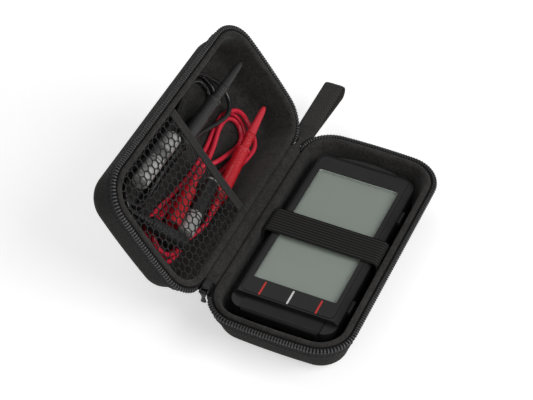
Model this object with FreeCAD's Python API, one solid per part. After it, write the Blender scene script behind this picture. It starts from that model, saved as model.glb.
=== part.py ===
"""Pocket multimeter in an open zipped clamshell case, with its test leads in the lid.

Millimetres. The origin is the middle of the base's flat bottom: X runs across the case with the hinge
on the -X side, Y along the hinge to the wrist strap's end, and Z up. Lid pieces are modelled in the
base's own tray frame, then mirrored over the hinge and swung up to the lid's angle.
"""
import FreeCAD, Part
import math
import os

V = FreeCAD.Vector

# Meter, overall sizes
METER_WIDTH = 66.0
METER_LENGTH = 138.0
METER_HEIGHT = 25.8
METER_CORNER = 8.0
METER_WALL = 2.0
FRONT_HEIGHT = 13.4            # height of the front cover
FACE_BEVEL = 2.6
FACE_WALL = 2.4
SCREEN_SIDE = 6.8              # casing left beside the screen window, each side
SCREEN_FAR = 15.2              # casing left beyond the window at the far end
SCREEN_NEAR = 22.8             # casing left before the window at the jack end

# Case shells
SIDE_GAP = 5.8                 # between the meter's side and the case wall at the rim
END_GAP = 10.8                 # between the meter's end and the case wall at the rim
SHELL_WALL = 4.2
SHELL_FLOOR = 3.2
SHELL_DRAFT = 2.5              # how far each wall leans in from rim to bottom
SHELL_CORNER = 20.0
END_BOW = 2.0                  # how far the short ends bow out
SKIN_TAPER = 2.2               # how much thinner a wall is at the bottom
END_LEAN = 3.5                 # how much further the base's end walls lean in
BOTTOM_ROUND = 11.5
INNER_ROUND = 6.8
RIM_ROUND = 1.9
FACE_BELOW_RIM = 1.0
LID_DEPTH = 30.0
LID_ANGLE = 55.0               # how far the open lid stands up from lying flat

# Hinge and zip
HINGE_OFFSET = 4.0             # from the shell's outer wall to the fold
TAPE_LOW = 9.5                 # lower edge of the zip tape, below the rim
TAPE_THICKNESS = 0.9
COIL_INNER = 1.2               # coil offsets from the shell's outer wall
COIL_OUTER = 3.5
COIL_HEIGHT = 2.2
HALF_GAP = 0.15                # half the gap between the closed halves
ZIP_END = 62.0                 # the zip stops this far each way along the hinge
SLIDER_ROOM = 12.0             # length left open for the parked slider
SPINE_TIP_GAP = 0.75
FOLD_RADIUS = 0.5

# Soft fittings
STRAP_WIDTH = 20.0
STRAP_THICKNESS = 1.3
STRAP_FOOT = 16.0              # height of the strap's sewn feet
WEB_WIDTH = 13.4
WEB_SIDE = 5.5                 # how far the wrist loop reaches past the fold on the base's side
WEB_THICKNESS = 1.6
WEB_LENGTH = 132.5             # far end of the wrist loop from the case's centre
NET_DEPTH = 1.9                # from the lid's rim plane to the net
NET_THICKNESS = 0.6
NET_PITCH = 5.1
NET_HOLE = 4.2                 # across flats
NET_EDGE = -8.6                # the net's free edge, along the lid
BINDING_WIDTH = 6.0
BINDING_THICKNESS = 1.8

# Leads
CORD_DIAMETER = 3.0
STRAND_PITCH = 3.7             # between neighbouring strands of a hank
LAYER_PITCH = 3.6
HANDLE_RADIUS = 4.5
GUARD_RADIUS = 5.3
BARREL_RADIUS = 3.2
CAP_RADIUS = 3.0
NOSE_RADIUS = 2.25             # the probe's nose, inside its cap
TIP_RADIUS = 1.0
PLUG_RADIUS = 4.6
PIN_RADIUS = 1.95
PLACED_WIDTH = 86.0            # the lid size that the leads' places were chosen in
PLACED_LENGTH = 168.0
CELL_RADIUS = 5.25
CELL_LENGTH = 44.5

# Clearances
SEAT_GAP = 0.3
SLIP_GAP = 0.2
FINE_GAP = 0.05
RUN_GAP = 0.1

# Worked out from the sizes above
METER_BACK = SHELL_FLOOR
FACE_Z = METER_BACK + METER_HEIGHT
SPLIT_Z = FACE_Z - FRONT_HEIGHT
RIM = FACE_Z + FACE_BELOW_RIM
SHELL_WIDTH = METER_WIDTH + 2 * (SIDE_GAP + SHELL_WALL)
SHELL_LENGTH = METER_LENGTH + 2 * (END_GAP + SHELL_WALL)
HINGE_X = -SHELL_WIDTH / 2 - HINGE_OFFSET
LID_FLOOR_DEPTH = LID_DEPTH - SHELL_FLOOR
METER_Y = -0.5
SCREEN_WIDTH = METER_WIDTH - 2 * SCREEN_SIDE
SCREEN_LENGTH = METER_LENGTH - SCREEN_FAR - SCREEN_NEAR
FAR = 400.0                    # longer than anything in the model


def arc(a, b, c):
    return Part.Arc(a, b, c).toShape()


def line(a, b):
    return Part.LineSegment(a, b).toShape()


def outline(width, length, corner, bow, z, centre=(0.0, 0.0)):
    """Rounded rectangle with short ends that bow out on one large arc, as a closed wire."""
    half_w, half_l = width / 2, length / 2
    corner_x = half_w - corner
    if bow > 0:
        bow_r = (half_w ** 2 + bow ** 2) / (2 * bow)
        bow_y = half_l - bow_r
        corner_y = bow_y + math.sqrt((bow_r - corner) ** 2 - corner_x ** 2)
        reach = bow_r / (bow_r - corner)
        meet_x, meet_y = corner_x * reach, bow_y + (corner_y - bow_y) * reach
    else:
        corner_y = half_l - corner
        meet_x, meet_y = corner_x, half_l
    mid = math.atan2(meet_y - corner_y, meet_x - corner_x) / 2
    mid_x, mid_y = corner_x + corner * math.cos(mid), corner_y + corner * math.sin(mid)

    def at(x, y):
        return V(centre[0] + x, centre[1] + y, z)

    def end(side):
        if bow > 0:
            return arc(at(side * meet_x, side * meet_y), at(0, side * half_l),
                       at(-side * meet_x, side * meet_y))
        return line(at(side * meet_x, side * meet_y), at(-side * meet_x, side * meet_y))

    edges = []
    for side in (1, -1):
        edges.append(line(at(side * half_w, -side * corner_y), at(side * half_w, side * corner_y)))
        edges.append(arc(at(side * half_w, side * corner_y), at(side * mid_x, side * mid_y),
                         at(side * meet_x, side * meet_y)))
        edges.append(end(side))
        edges.append(arc(at(-side * meet_x, side * meet_y), at(-side * mid_x, side * mid_y),
                         at(-side * half_w, side * corner_y)))
    return Part.Wire(edges)


def loft(*sections):
    return Part.makeLoft(list(sections), True, True)


def block(x0, x1, y0, y1, z0, z1):
    return Part.makeBox(x1 - x0, y1 - y0, z1 - z0, V(x0, y0, z0))


def slab(width, length, corner, z0, z1, centre=(0.0, 0.0)):
    """Upright plate with rounded corners."""
    face = Part.Face(outline(width, length, corner, 0, z0, centre))
    return face.extrude(V(0, 0, z1 - z0))


def rod(radius, start, end):
    return Part.makeCylinder(radius, (end - start).Length, start, end - start)


def edges_at(shape, z):
    """Edges that lie flat at height z."""
    level = 0.01
    return [e for e in shape.Edges if abs(e.BoundBox.ZMin - z) < level and abs(e.BoundBox.ZMax - z) < level]


def prism_along_y(points, y0, y1):
    """Straight-sided solid from an XZ outline."""
    corners = [V(x, y0, z) for x, z in points]
    return Part.Face(Part.makePolygon(corners + corners[:1])).extrude(V(0, y1 - y0, 0))


def lid_side(shape):
    """Mirrors a piece over the hinge and swings it up to the open lid's angle."""
    shape = shape.mirror(V(HINGE_X, 0, 0), V(1, 0, 0))
    shape.rotate(V(HINGE_X, 0, RIM), V(0, 1, 0), LID_ANGLE)
    return shape


def in_lid(across, along, depth):
    """A point in the lid: across from the fold, along the hinge, and down from the rim plane."""
    return V(HINGE_X + across, along, RIM - depth)


# Case


def shell_section(depth, below_rim, outside, lean=0.0):
    """The shell's outline some way below its rim, grown by a distance outside its outer wall."""
    grow = 2 * (outside - SHELL_DRAFT * below_rim / depth)
    return outline(SHELL_WIDTH + grow, SHELL_LENGTH + grow - 2 * lean, SHELL_CORNER + grow / 2, END_BOW,
                   RIM - below_rim)


def shell(depth, lean=0.0):
    """A tray whose walls thin and lean in below the zip, with a rounded bottom edge and a rolled rim."""
    outer = loft(shell_section(depth, depth, -SKIN_TAPER, lean), shell_section(depth, TAPE_LOW + 0.5, 0),
                 shell_section(depth, 0, 0))
    outer = outer.makeFillet(BOTTOM_ROUND, edges_at(outer, RIM - depth))
    floor = depth - SHELL_FLOOR
    inner = loft(shell_section(depth, floor, -SHELL_WALL, lean), shell_section(depth, -SEAT_GAP, -SHELL_WALL))
    inner = inner.makeFillet(INNER_ROUND, edges_at(inner, RIM - floor))
    tray = outer.cut(inner)
    return tray.makeFillet(min(RIM_ROUND, 0.45 * SHELL_WALL), edges_at(tray, RIM))


def zip_room(extra=0.0):
    """The hinge-side stretch that the zip leaves open for the spine and the parked slider."""
    return block(-FAR, HINGE_X / 2, -ZIP_END - SLIDER_ROOM - extra, ZIP_END + extra, -FAR, FAR)


def zip_tape(depth):
    """Tape that leaves the wall at its seam and flares out to the coil."""
    high = HALF_GAP + COIL_HEIGHT + FINE_GAP
    middle = (COIL_INNER + COIL_OUTER - TAPE_THICKNESS) / 2
    outer = loft(shell_section(depth, TAPE_LOW, FINE_GAP + TAPE_THICKNESS),
                 shell_section(depth, high, middle + TAPE_THICKNESS))
    inner = loft(shell_section(depth, TAPE_LOW, FINE_GAP), shell_section(depth, high, middle))
    return outer.cut(inner).cut(zip_room())


def zip_coil(depth):
    """The row of teeth as one rounded bead."""
    low, high = HALF_GAP + COIL_HEIGHT, HALF_GAP
    outer = loft(shell_section(depth, low, COIL_OUTER), shell_section(depth, high, COIL_OUTER))
    inner = loft(shell_section(depth, low, COIL_INNER), shell_section(depth, high, COIL_INNER))
    ring = outer.cut(inner)
    ring = ring.makeFillet(COIL_HEIGHT / 3, edges_at(ring, RIM - high))
    return ring.cut(zip_room())


def spine(depth, with_fold):
    """Padded wedge from the hinge-side wall out to the fold."""
    def wall(below):
        return -SHELL_WIDTH / 2 + SHELL_DRAFT * below / depth - FINE_GAP

    tip = HINGE_X + SPINE_TIP_GAP
    top = RIM - SPINE_TIP_GAP
    lip = 2.4
    length = ZIP_END - SLIP_GAP
    wedge = prism_along_y([(wall(TAPE_LOW), RIM - TAPE_LOW), (wall(TAPE_LOW) - 1, RIM - TAPE_LOW),
                           (tip, top - lip), (tip, top), (wall(0), top)], -length, length)
    if not with_fold:
        return wedge
    bead = rod(FOLD_RADIUS, V(HINGE_X, -length, RIM), V(HINGE_X, length, RIM))
    neck_half = 0.25
    reach = SPINE_TIP_GAP + neck_half
    neck = prism_along_y([(HINGE_X - neck_half + FOLD_RADIUS / 2, RIM - neck_half - FOLD_RADIUS / 2),
                          (HINGE_X + neck_half + FOLD_RADIUS / 2, RIM + neck_half - FOLD_RADIUS / 2),
                          (HINGE_X + reach + neck_half, RIM - reach + neck_half),
                          (HINGE_X + reach - neck_half, RIM - reach - neck_half)], -length, length)
    return wedge.fuse([bead, neck]).removeSplitter()


SLIDER_SIZE = 5.6
SLIDER_LENGTH = 8.6
SLIDER_END = -ZIP_END - SLIDER_LENGTH
PULL_PIN = 0.7
PULL_WIDTH = 3.6
PULL_LENGTH = 10.0
PULL_THICKNESS = 1.3


def zip_slider():
    """Wedge-shaped slider on the fold line, with a bridge that carries the pull."""
    half = SLIDER_SIZE / 2
    body = block(HINGE_X - half, HINGE_X + half, SLIDER_END, -ZIP_END, RIM - half, RIM + half)
    body = body.makeFillet(1.2, [e for e in body.Edges if abs(e.BoundBox.YLength - SLIDER_LENGTH) < 0.01])
    arm = 0.9
    ears = [block(HINGE_X + side * (half - arm / 2) - arm / 2, HINGE_X + side * (half - arm / 2) + arm / 2,
                  SLIDER_END - 2.6, SLIDER_END + 1, RIM - 1.1, RIM + 1.1) for side in (-1, 1)]
    pin = rod(PULL_PIN, V(HINGE_X - half, SLIDER_END - 1.5, RIM), V(HINGE_X + half, SLIDER_END - 1.5, RIM))
    return body.fuse(ears + [pin]).removeSplitter()


def zip_pull():
    """Flat tab that hangs from the slider's bridge pin."""
    y = SLIDER_END - 1.5
    half = PULL_WIDTH / 2
    eye = PULL_PIN + RUN_GAP
    tab = block(HINGE_X - half, HINGE_X + half, y - PULL_THICKNESS / 2, y + PULL_THICKNESS / 2,
                RIM - PULL_LENGTH, RIM - eye)
    tab = tab.makeFillet(0.5, [e for e in tab.Edges if abs(e.BoundBox.YLength - PULL_THICKNESS) < 0.01
                               and e.BoundBox.ZMax < RIM - PULL_LENGTH / 2])
    head = rod(eye + 0.65, V(HINGE_X - half, y, RIM), V(HINGE_X + half, y, RIM))
    bore = rod(eye, V(HINGE_X - half - 1, y, RIM), V(HINGE_X + half + 1, y, RIM))
    return tab.fuse(head).cut(bore).removeSplitter()


def meter_strap():
    """Elastic band over the meter, down both sides to its seams on the case walls."""
    under = FACE_Z + SLIP_GAP
    top = under + STRAP_THICKNESS
    out = SHELL_WIDTH / 2 - SHELL_WALL - SHELL_DRAFT * (RIM - STRAP_FOOT) / RIM - RUN_GAP
    into = out - STRAP_THICKNESS
    bend = 2.2
    edges = []
    for half, height, r in ((out, top, bend + STRAP_THICKNESS), (into, under, bend)):
        corner = r * (1 - math.sqrt(0.5))
        points = [V(-half, 0, STRAP_FOOT), V(-half, 0, height - r), V(-half + corner, 0, height - corner),
                  V(-half + r, 0, height), V(half - r, 0, height), V(half - corner, 0, height - corner),
                  V(half, 0, height - r), V(half, 0, STRAP_FOOT)]
        edges += [line(points[0], points[1]), arc(points[1], points[2], points[3]),
                  line(points[3], points[4]), arc(points[4], points[5], points[6]),
                  line(points[6], points[7])]
    edges += [line(V(-out, 0, STRAP_FOOT), V(-into, 0, STRAP_FOOT)),
              line(V(out, 0, STRAP_FOOT), V(into, 0, STRAP_FOOT))]
    band = Part.Face(Part.Wire(Part.__sortEdges__(edges))).extrude(V(0, STRAP_WIDTH, 0))
    band.translate(V(0, -STRAP_WIDTH / 2, 0))
    return band


def wrist_strap():
    """Webbing folded into a stiff flat loop, its sewn tail narrowing between the two halves' far corners."""
    tail_end = SHELL_LENGTH / 2 - 2.5
    top = RIM - HALF_GAP - SEAT_GAP
    bottom = top - 2 * WEB_THICKNESS
    round_r = 5.2
    far = WEB_LENGTH - round_r
    rise = 1.2
    high, low = top + rise, top + rise - 2 * round_r
    start, turn = V(0, tail_end, bottom), V(0, far, high)
    edges = [line(start, V(0, tail_end, top)), line(V(0, tail_end, top), turn),
             arc(turn, V(0, WEB_LENGTH, high - round_r), V(0, far, low)), line(V(0, far, low), start)]
    outer = Part.Face(Part.Wire(edges))
    inner = outer.makeOffset2D(-WEB_THICKNESS)
    loop = outer.cut(inner).extrude(V(WEB_WIDTH, 0, 0))
    loop.translate(V(HINGE_X + WEB_SIDE - WEB_WIDTH, 0, 0))
    tail = block(HINGE_X + WEB_SIDE - WEB_WIDTH, HINGE_X + WEB_SIDE, ZIP_END + 2, tail_end, bottom, top)
    clear_of_coil = COIL_OUTER + SEAT_GAP
    corner = loft(shell_section(RIM, TAPE_LOW, clear_of_coil), shell_section(RIM, 0, clear_of_coil))
    other_corner = corner.mirror(V(HINGE_X, 0, 0), V(1, 0, 0))
    return loop.fuse(tail.cut([corner, other_corner])).removeSplitter()


def net_outline(depth, margin):
    """The lid's inner wall at a depth, cut off at the net's free edge."""
    grow = 2 * (-SHELL_WALL - SHELL_DRAFT * depth / LID_DEPTH - margin)
    whole = Part.Face(outline(SHELL_WIDTH + grow, SHELL_LENGTH + grow, SHELL_CORNER + grow / 2, END_BOW,
                              RIM - depth))
    near = Part.Face(Part.makePolygon([V(-FAR, -FAR, RIM - depth), V(FAR, -FAR, RIM - depth),
                                       V(FAR, NET_EDGE - margin, RIM - depth),
                                       V(-FAR, NET_EDGE - margin, RIM - depth), V(-FAR, -FAR, RIM - depth)]))
    return whole.common(near).Faces[0]


def net_pocket():
    """Flat net of hexagon holes: one face with its holes, given a thickness."""
    depth = NET_DEPTH + NET_THICKNESS
    plate = net_outline(depth, SLIP_GAP)
    inside = net_outline(depth, 1.4)
    rows_apart = NET_PITCH * math.sqrt(3) / 2
    hole_r = NET_HOLE / math.sqrt(3)
    rows = int(SHELL_LENGTH / 2 / rows_apart) + 1
    columns = int(SHELL_WIDTH / 2 / NET_PITCH) + 1
    wires = [plate.OuterWire]
    for row in range(-rows, 2):
        for column in range(-columns, columns + 1):
            x = (column + 0.5 * (row % 2)) * NET_PITCH
            y = row * rows_apart
            turns = [k * math.pi / 3 for k in range(6)]
            ring = [V(x + hole_r * math.sin(t), y + hole_r * math.cos(t), RIM - depth) for t in turns]
            if all(inside.isInside(p, 0.001, True) for p in ring):
                wires.append(Part.makePolygon(ring + ring[:1]))
    print("net holes", len(wires) - 1)
    face = Part.makeFace(wires, "Part::FaceMakerBullseye")
    return face.extrude(V(0, 0, NET_THICKNESS))


def net_binding():
    """Webbing folded over the net's free edge, wall to wall."""
    deep = NET_DEPTH + NET_THICKNESS + 0.6
    half = SHELL_WIDTH / 2 - SHELL_WALL - SHELL_DRAFT * deep / LID_DEPTH - SLIP_GAP
    low = RIM - deep
    strip = block(-half, half, NET_EDGE, NET_EDGE + BINDING_WIDTH, low, low + BINDING_THICKNESS)
    return strip.makeFillet(0.6, [e for e in strip.Edges if e.BoundBox.XLength > half])


# Meter


METER_NEAR = METER_Y - METER_LENGTH / 2
METER_FAR = METER_Y + METER_LENGTH / 2
STEP_Y = METER_NEAR + 9.0          # where the face steps down to the jack end
STEP_DROP = 3.4
SCREEN_Y = METER_Y + (SCREEN_NEAR - SCREEN_FAR) / 2
WINDOW_RECESS = 0.4
WINDOW_THICKNESS = 2.0
LCD_THICKNESS = 2.6
LCD_BORDER = 1.8
BOARD_THICKNESS = 1.6
BOARD_Z = SPLIT_Z + 0.4
BOARD_TOP = BOARD_Z + BOARD_THICKNESS
BOARD_NEAR = METER_NEAR + 25.5
BOARD_FAR = METER_FAR - 6.0
BOSS_RADIUS = 2.8
BOSS_X = METER_WIDTH / 2 - METER_WALL - 4.5
BOSS_NEAR_Y = SCREEN_Y - SCREEN_LENGTH / 2 - LCD_BORDER - BOSS_RADIUS - 0.5
BOSS_FAR_Y = SCREEN_Y + SCREEN_LENGTH / 2 + LCD_BORDER + BOSS_RADIUS + 2.5
SCREW_RADIUS = 1.0
BLOCK_OUT = 1.6                    # how far the jack block stands out of the near end
BLOCK_DEPTH = 14.0
BLOCK_LOW = METER_BACK + 2.4
BLOCK_HIGH = FACE_Z - STEP_DROP + 0.8
JACK_SPACING = 18.0
JACK_HOLE = 4.5
BLOCK_HALF = JACK_SPACING + JACK_HOLE + 2.5
JACK_TUBE = 3.0
JACK_BORE = 2.0
JACK_RECESS = 5.4
JACK_Z = (BLOCK_LOW + BLOCK_HIGH) / 2
BUTTON_Z = BOARD_TOP + 3.8
BUTTON_LENGTH = 9.6
BUTTON_HEIGHT = 3.8
BUTTON_OUT = 1.6
BUTTON_TRAVEL = 0.8
BUTTON_FLANGE = 1.2
BUTTON_PLACES = {"function_button": METER_FAR - 29.0, "hold_button": METER_NEAR + 29.0}
BAY_WIDTH = 24.0
BAY_LENGTH = 48.0
BAY_Y = METER_Y + 9.0
BAY_WALL = 1.2
DOOR_LENGTH = BAY_LENGTH + 9.0
DOOR_THICKNESS = 2.0
DOOR_SCREW_Y = BAY_Y + BAY_LENGTH / 2 + BAY_WALL + BOSS_RADIUS - 0.8


def boss_places():
    return [(side * BOSS_X, y) for side in (-1, 1) for y in (BOSS_NEAR_Y, BOSS_FAR_Y)]


def meter_body(z0, z1, inset=0.0):
    return slab(METER_WIDTH - 2 * inset, METER_LENGTH - 2 * inset, METER_CORNER - inset, z0, z1,
                (0, METER_Y))


def jack_block_room(gap):
    return block(-BLOCK_HALF - gap, BLOCK_HALF + gap, -FAR, METER_NEAR - BLOCK_OUT + BLOCK_DEPTH + gap,
                 BLOCK_LOW - gap, BLOCK_HIGH + gap)


def front_cover():
    """Upper casing: bevelled face with the screen opening, a lower jack end and a bowed far end."""
    body = meter_body(SPLIT_Z, FACE_Z)
    body = body.makeChamfer(FACE_BEVEL, edges_at(body, FACE_Z))
    bow, chord = 3.0, 0.64 * METER_WIDTH
    far = METER_FAR - 0.5
    nose_low, nose_high = SPLIT_Z + 1.5, FACE_Z - 1.6
    left, right = V(-chord / 2, far, nose_low), V(chord / 2, far, nose_low)
    nose = Part.Face(Part.Wire([arc(left, V(0, far + bow, nose_low), right), line(right, left)]))
    body = body.fuse(nose.extrude(V(0, 0, nose_high - nose_low)))
    step = block(-FAR, FAR, -FAR, STEP_Y, FACE_Z - STEP_DROP, FAR)
    body = body.cut(step)
    ceiling = FACE_Z - FACE_WALL
    room = meter_body(SPLIT_Z - 1, ceiling, METER_WALL)
    room = room.cut(block(-FAR, FAR, -FAR, STEP_Y + METER_WALL, FACE_Z - STEP_DROP - METER_WALL, FAR))
    body = body.cut(room)
    opening = slab(SCREEN_WIDTH + 2 * SLIP_GAP, SCREEN_LENGTH + 2 * SLIP_GAP, 1.4, ceiling - 1, FACE_Z + 1,
                   (0, SCREEN_Y))
    body = body.cut(opening)
    groove_w, groove_l = METER_WIDTH - 2 * FACE_BEVEL - 1.2, METER_LENGTH - FACE_BEVEL - 10.4
    groove_y = STEP_Y + 0.9 + groove_l / 2
    groove = slab(groove_w, groove_l, 4.0, FACE_Z - 0.4, FACE_Z + 1, (0, groove_y))
    groove = groove.cut(slab(groove_w - 1.2, groove_l - 1.2, 3.4, FACE_Z - 1, FACE_Z + 2, (0, groove_y)))
    body = body.cut(groove).cut(jack_block_room(SLIP_GAP))
    half_l, half_h = BUTTON_LENGTH / 2 + SLIP_GAP, BUTTON_HEIGHT / 2 + SLIP_GAP
    for y in BUTTON_PLACES.values():
        slot = block(0, FAR, y - half_l, y + half_l, BUTTON_Z - half_h, BUTTON_Z + half_h)
        body = body.cut(slot.cut(meter_body(SPLIT_Z - 1, FAR, METER_WALL + 1)))
    for x, y in boss_places():
        boss = rod(BOSS_RADIUS, V(x, y, SPLIT_Z), V(x, y, ceiling + 0.5))
        body = body.fuse(boss).cut(rod(SCREW_RADIUS + FINE_GAP, V(x, y, SPLIT_Z - 1), V(x, y, SPLIT_Z + 6)))
    return body.removeSplitter()


def rear_cover():
    """Lower casing with its battery bay, bosses and counterbored screw holes."""
    top = SPLIT_Z - SLIP_GAP
    body = meter_body(METER_BACK, top)
    body = body.makeFillet(3.0, edges_at(body, METER_BACK))
    body = body.cut(meter_body(METER_BACK + METER_WALL, FAR, METER_WALL))
    bay_top = top - SLIP_GAP
    tub = block(-BAY_WIDTH / 2 - BAY_WALL, BAY_WIDTH / 2 + BAY_WALL, BAY_Y - BAY_LENGTH / 2 - BAY_WALL,
                BAY_Y + BAY_LENGTH / 2 + BAY_WALL, METER_BACK + 0.5, bay_top)
    door_boss = rod(BOSS_RADIUS, V(0, DOOR_SCREW_Y, METER_BACK + DOOR_THICKNESS),
                    V(0, DOOR_SCREW_Y, bay_top))
    body = body.fuse([tub, door_boss])
    body = body.cut(block(-BAY_WIDTH / 2, BAY_WIDTH / 2, BAY_Y - BAY_LENGTH / 2, BAY_Y + BAY_LENGTH / 2,
                          METER_BACK - 1, bay_top - BAY_WALL))
    body = body.cut(door_plate(SLIP_GAP, METER_BACK - 1))
    body = body.cut(rod(SCREW_RADIUS + FINE_GAP, V(0, DOOR_SCREW_Y, METER_BACK),
                        V(0, DOOR_SCREW_Y, bay_top - 1)))
    for x, y in boss_places():
        post = rod(BOSS_RADIUS, V(x, y, METER_BACK + 1), V(x, y, top))
        body = body.fuse(post).cut(rod(SCREW_RADIUS + RUN_GAP, V(x, y, METER_BACK - 1), V(x, y, FAR)))
        body = body.cut(rod(SCREW_RADIUS * 2 + RUN_GAP, V(x, y, METER_BACK - 1), V(x, y, METER_BACK + 4)))
    rests = [rod(1.6, V(side * (BAY_WIDTH / 2 - 2), BAY_Y + end * BAY_LENGTH / 3, bay_top - 0.5),
                 V(side * (BAY_WIDTH / 2 - 2), BAY_Y + end * BAY_LENGTH / 3, BOARD_Z - FINE_GAP))
             for side in (-1, 1) for end in (-1, 1)]
    return body.fuse(rests).cut(jack_block_room(SLIP_GAP)).removeSplitter()


def door_plate(gap, low):
    """The battery door's outline, grown by a gap."""
    centre_y = BAY_Y + (DOOR_LENGTH - BAY_LENGTH) / 2 - 0.8
    return slab(BAY_WIDTH + 1.6 + 2 * gap, DOOR_LENGTH + 2 * gap, 2.0 + gap, low,
                METER_BACK + DOOR_THICKNESS, (0, centre_y))


def battery_door():
    hole = rod(SCREW_RADIUS + RUN_GAP, V(0, DOOR_SCREW_Y, METER_BACK - 1), V(0, DOOR_SCREW_Y, FAR))
    head = rod(SCREW_RADIUS * 2 + RUN_GAP, V(0, DOOR_SCREW_Y, METER_BACK - 1),
               V(0, DOOR_SCREW_Y, METER_BACK + 1))
    return door_plate(0, METER_BACK).cut(hole).cut(head)


def screw(x, y, head_z, head_height, length):
    """Pan-head screw, head down, with a cross slot."""
    shank = rod(SCREW_RADIUS, V(x, y, head_z), V(x, y, head_z + head_height + length))
    head = rod(SCREW_RADIUS * 2, V(x, y, head_z), V(x, y, head_z + head_height))
    slots = [block(x - a, x + a, y - b, y + b, head_z - 1, head_z + head_height / 2)
             for a, b in ((0.25, 1.3), (1.3, 0.25))]
    return head.fuse(shank).cut(slots[0].fuse(slots[1])).removeSplitter()


def case_screws():
    head_z, head_height = METER_BACK + 2.4, 1.6
    length = SPLIT_Z + 5 - head_z - head_height
    return Part.makeCompound([screw(x, y, head_z, head_height, length) for x, y in boss_places()])


def screen_window():
    top = FACE_Z - WINDOW_RECESS
    return slab(SCREEN_WIDTH, SCREEN_LENGTH, 1.2, top - WINDOW_THICKNESS, top, (0, SCREEN_Y))


LCD_TOP = FACE_Z - WINDOW_RECESS - WINDOW_THICKNESS - FINE_GAP
LCD_LOW = LCD_TOP - LCD_THICKNESS


def lcd_panel():
    return slab(SCREEN_WIDTH + 2 * LCD_BORDER, SCREEN_LENGTH + 2 * LCD_BORDER, 0.8, LCD_LOW, LCD_TOP,
                (0, SCREEN_Y))


def lcd_connector_strips():
    strips = []
    half = SCREEN_WIDTH / 2 - 4
    for side in (-1, 1):
        y = SCREEN_Y + side * (SCREEN_LENGTH / 2 - 5.5)
        strips.append(block(-half, half, y - 1.1, y + 1.1, BOARD_TOP, LCD_LOW))
    return Part.makeCompound(strips)


def circuit_board():
    width = METER_WIDTH - 2 * METER_WALL - 3
    length = BOARD_FAR - BOARD_NEAR
    board = slab(width, length, 2.0, BOARD_Z, BOARD_TOP, (0, (BOARD_FAR + BOARD_NEAR) / 2))
    for x, y in boss_places():
        board = board.cut(rod(BOSS_RADIUS + SEAT_GAP, V(x, y, BOARD_Z - 1), V(x, y, BOARD_TOP + 1)))
    return board


def main_chip():
    """Domed drop of resin over the bare chip."""
    radius, height = 8.0, 1.8
    ball = (radius ** 2 + height ** 2) / (2 * height)
    dome = Part.makeSphere(ball, V(0, SCREEN_Y, BOARD_TOP + height - ball))
    return dome.common(block(-radius, radius, SCREEN_Y - radius, SCREEN_Y + radius, BOARD_TOP, FAR))


BUTTON_INNER = METER_WIDTH / 2 - METER_WALL - SLIP_GAP - BUTTON_FLANGE


def tact_switches():
    switches = []
    for y in BUTTON_PLACES.values():
        stem_end = BUTTON_INNER - BUTTON_TRAVEL - RUN_GAP
        case = block(stem_end - 5, stem_end - 0.8, y - 3, y + 3, BOARD_TOP, BUTTON_Z + 1.6)
        stem = rod(1.2, V(stem_end - 2, y, BUTTON_Z), V(stem_end, y, BUTTON_Z))
        switches.append(case.fuse(stem))
    return Part.makeCompound(switches)


def side_button(y):
    """Button through the casing's side, with an inner flange that keeps it in."""
    half_l, half_h = BUTTON_LENGTH / 2, BUTTON_HEIGHT / 2
    cap = block(BUTTON_INNER, METER_WIDTH / 2 + BUTTON_OUT, y - half_l, y + half_l,
                BUTTON_Z - half_h, BUTTON_Z + half_h)
    cap = cap.makeFillet(1.0, [e for e in cap.Edges if e.BoundBox.XLength > 1])
    flange = block(BUTTON_INNER, BUTTON_INNER + BUTTON_FLANGE, y - half_l - 0.9, y + half_l + 0.9,
                   BUTTON_Z - half_h - 0.6, BUTTON_Z + half_h + 0.6)
    return cap.fuse(flange).removeSplitter()


def jack_block():
    """Moulded block at the near end with three deep shrouded sockets."""
    near = METER_NEAR - BLOCK_OUT
    body = block(-BLOCK_HALF, BLOCK_HALF, near, near + BLOCK_DEPTH, BLOCK_LOW, BLOCK_HIGH)
    front = [e for e in body.Edges if e.BoundBox.YMax < near + 0.1]
    rounded = [e for e in front if e.BoundBox.ZLength > 1 or e.BoundBox.ZMin > BLOCK_HIGH - 0.1]
    body = body.makeFillet(2.4, rounded)
    for k in (-1, 0, 1):
        x = k * JACK_SPACING
        body = body.cut(rod(JACK_HOLE, V(x, near - 1, JACK_Z), V(x, near + JACK_RECESS + 4, JACK_Z)))
        body = body.cut(rod(JACK_TUBE + FINE_GAP, V(x, near, JACK_Z), V(x, near + BLOCK_DEPTH + 1, JACK_Z)))
    return body


def input_jacks():
    """Brass socket tubes with solder tails that reach the board."""
    jacks = []
    mouth = METER_NEAR - BLOCK_OUT + JACK_RECESS
    for k in (-1, 0, 1):
        x = k * JACK_SPACING
        back = BOARD_NEAR + 1.0
        tube = rod(JACK_TUBE, V(x, mouth, JACK_Z), V(x, mouth + 16, JACK_Z))
        tail = block(x - 1.4, x + 1.4, mouth + 13, back, BOARD_TOP, BOARD_TOP + 0.7)
        riser = block(x - 1.4, x + 1.4, mouth + 13, mouth + 15, min(JACK_Z, BOARD_TOP),
                      max(JACK_Z, BOARD_TOP) + 0.7)
        bore = rod(JACK_BORE, V(x, mouth - 1, JACK_Z), V(x, mouth + 12, JACK_Z))
        jacks.append(tube.fuse([tail, riser]).cut(bore).removeSplitter())
    return Part.makeCompound(jacks)


FUSE_RADIUS = 2.5
FUSE_LENGTH = 20.0
FUSE_Y = BOARD_NEAR + 9.5
FUSE_Z = BOARD_Z - 1.0 - FUSE_RADIUS


def fuse_link():
    return rod(FUSE_RADIUS, V(-FUSE_LENGTH / 2, FUSE_Y, FUSE_Z), V(FUSE_LENGTH / 2, FUSE_Y, FUSE_Z))


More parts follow.
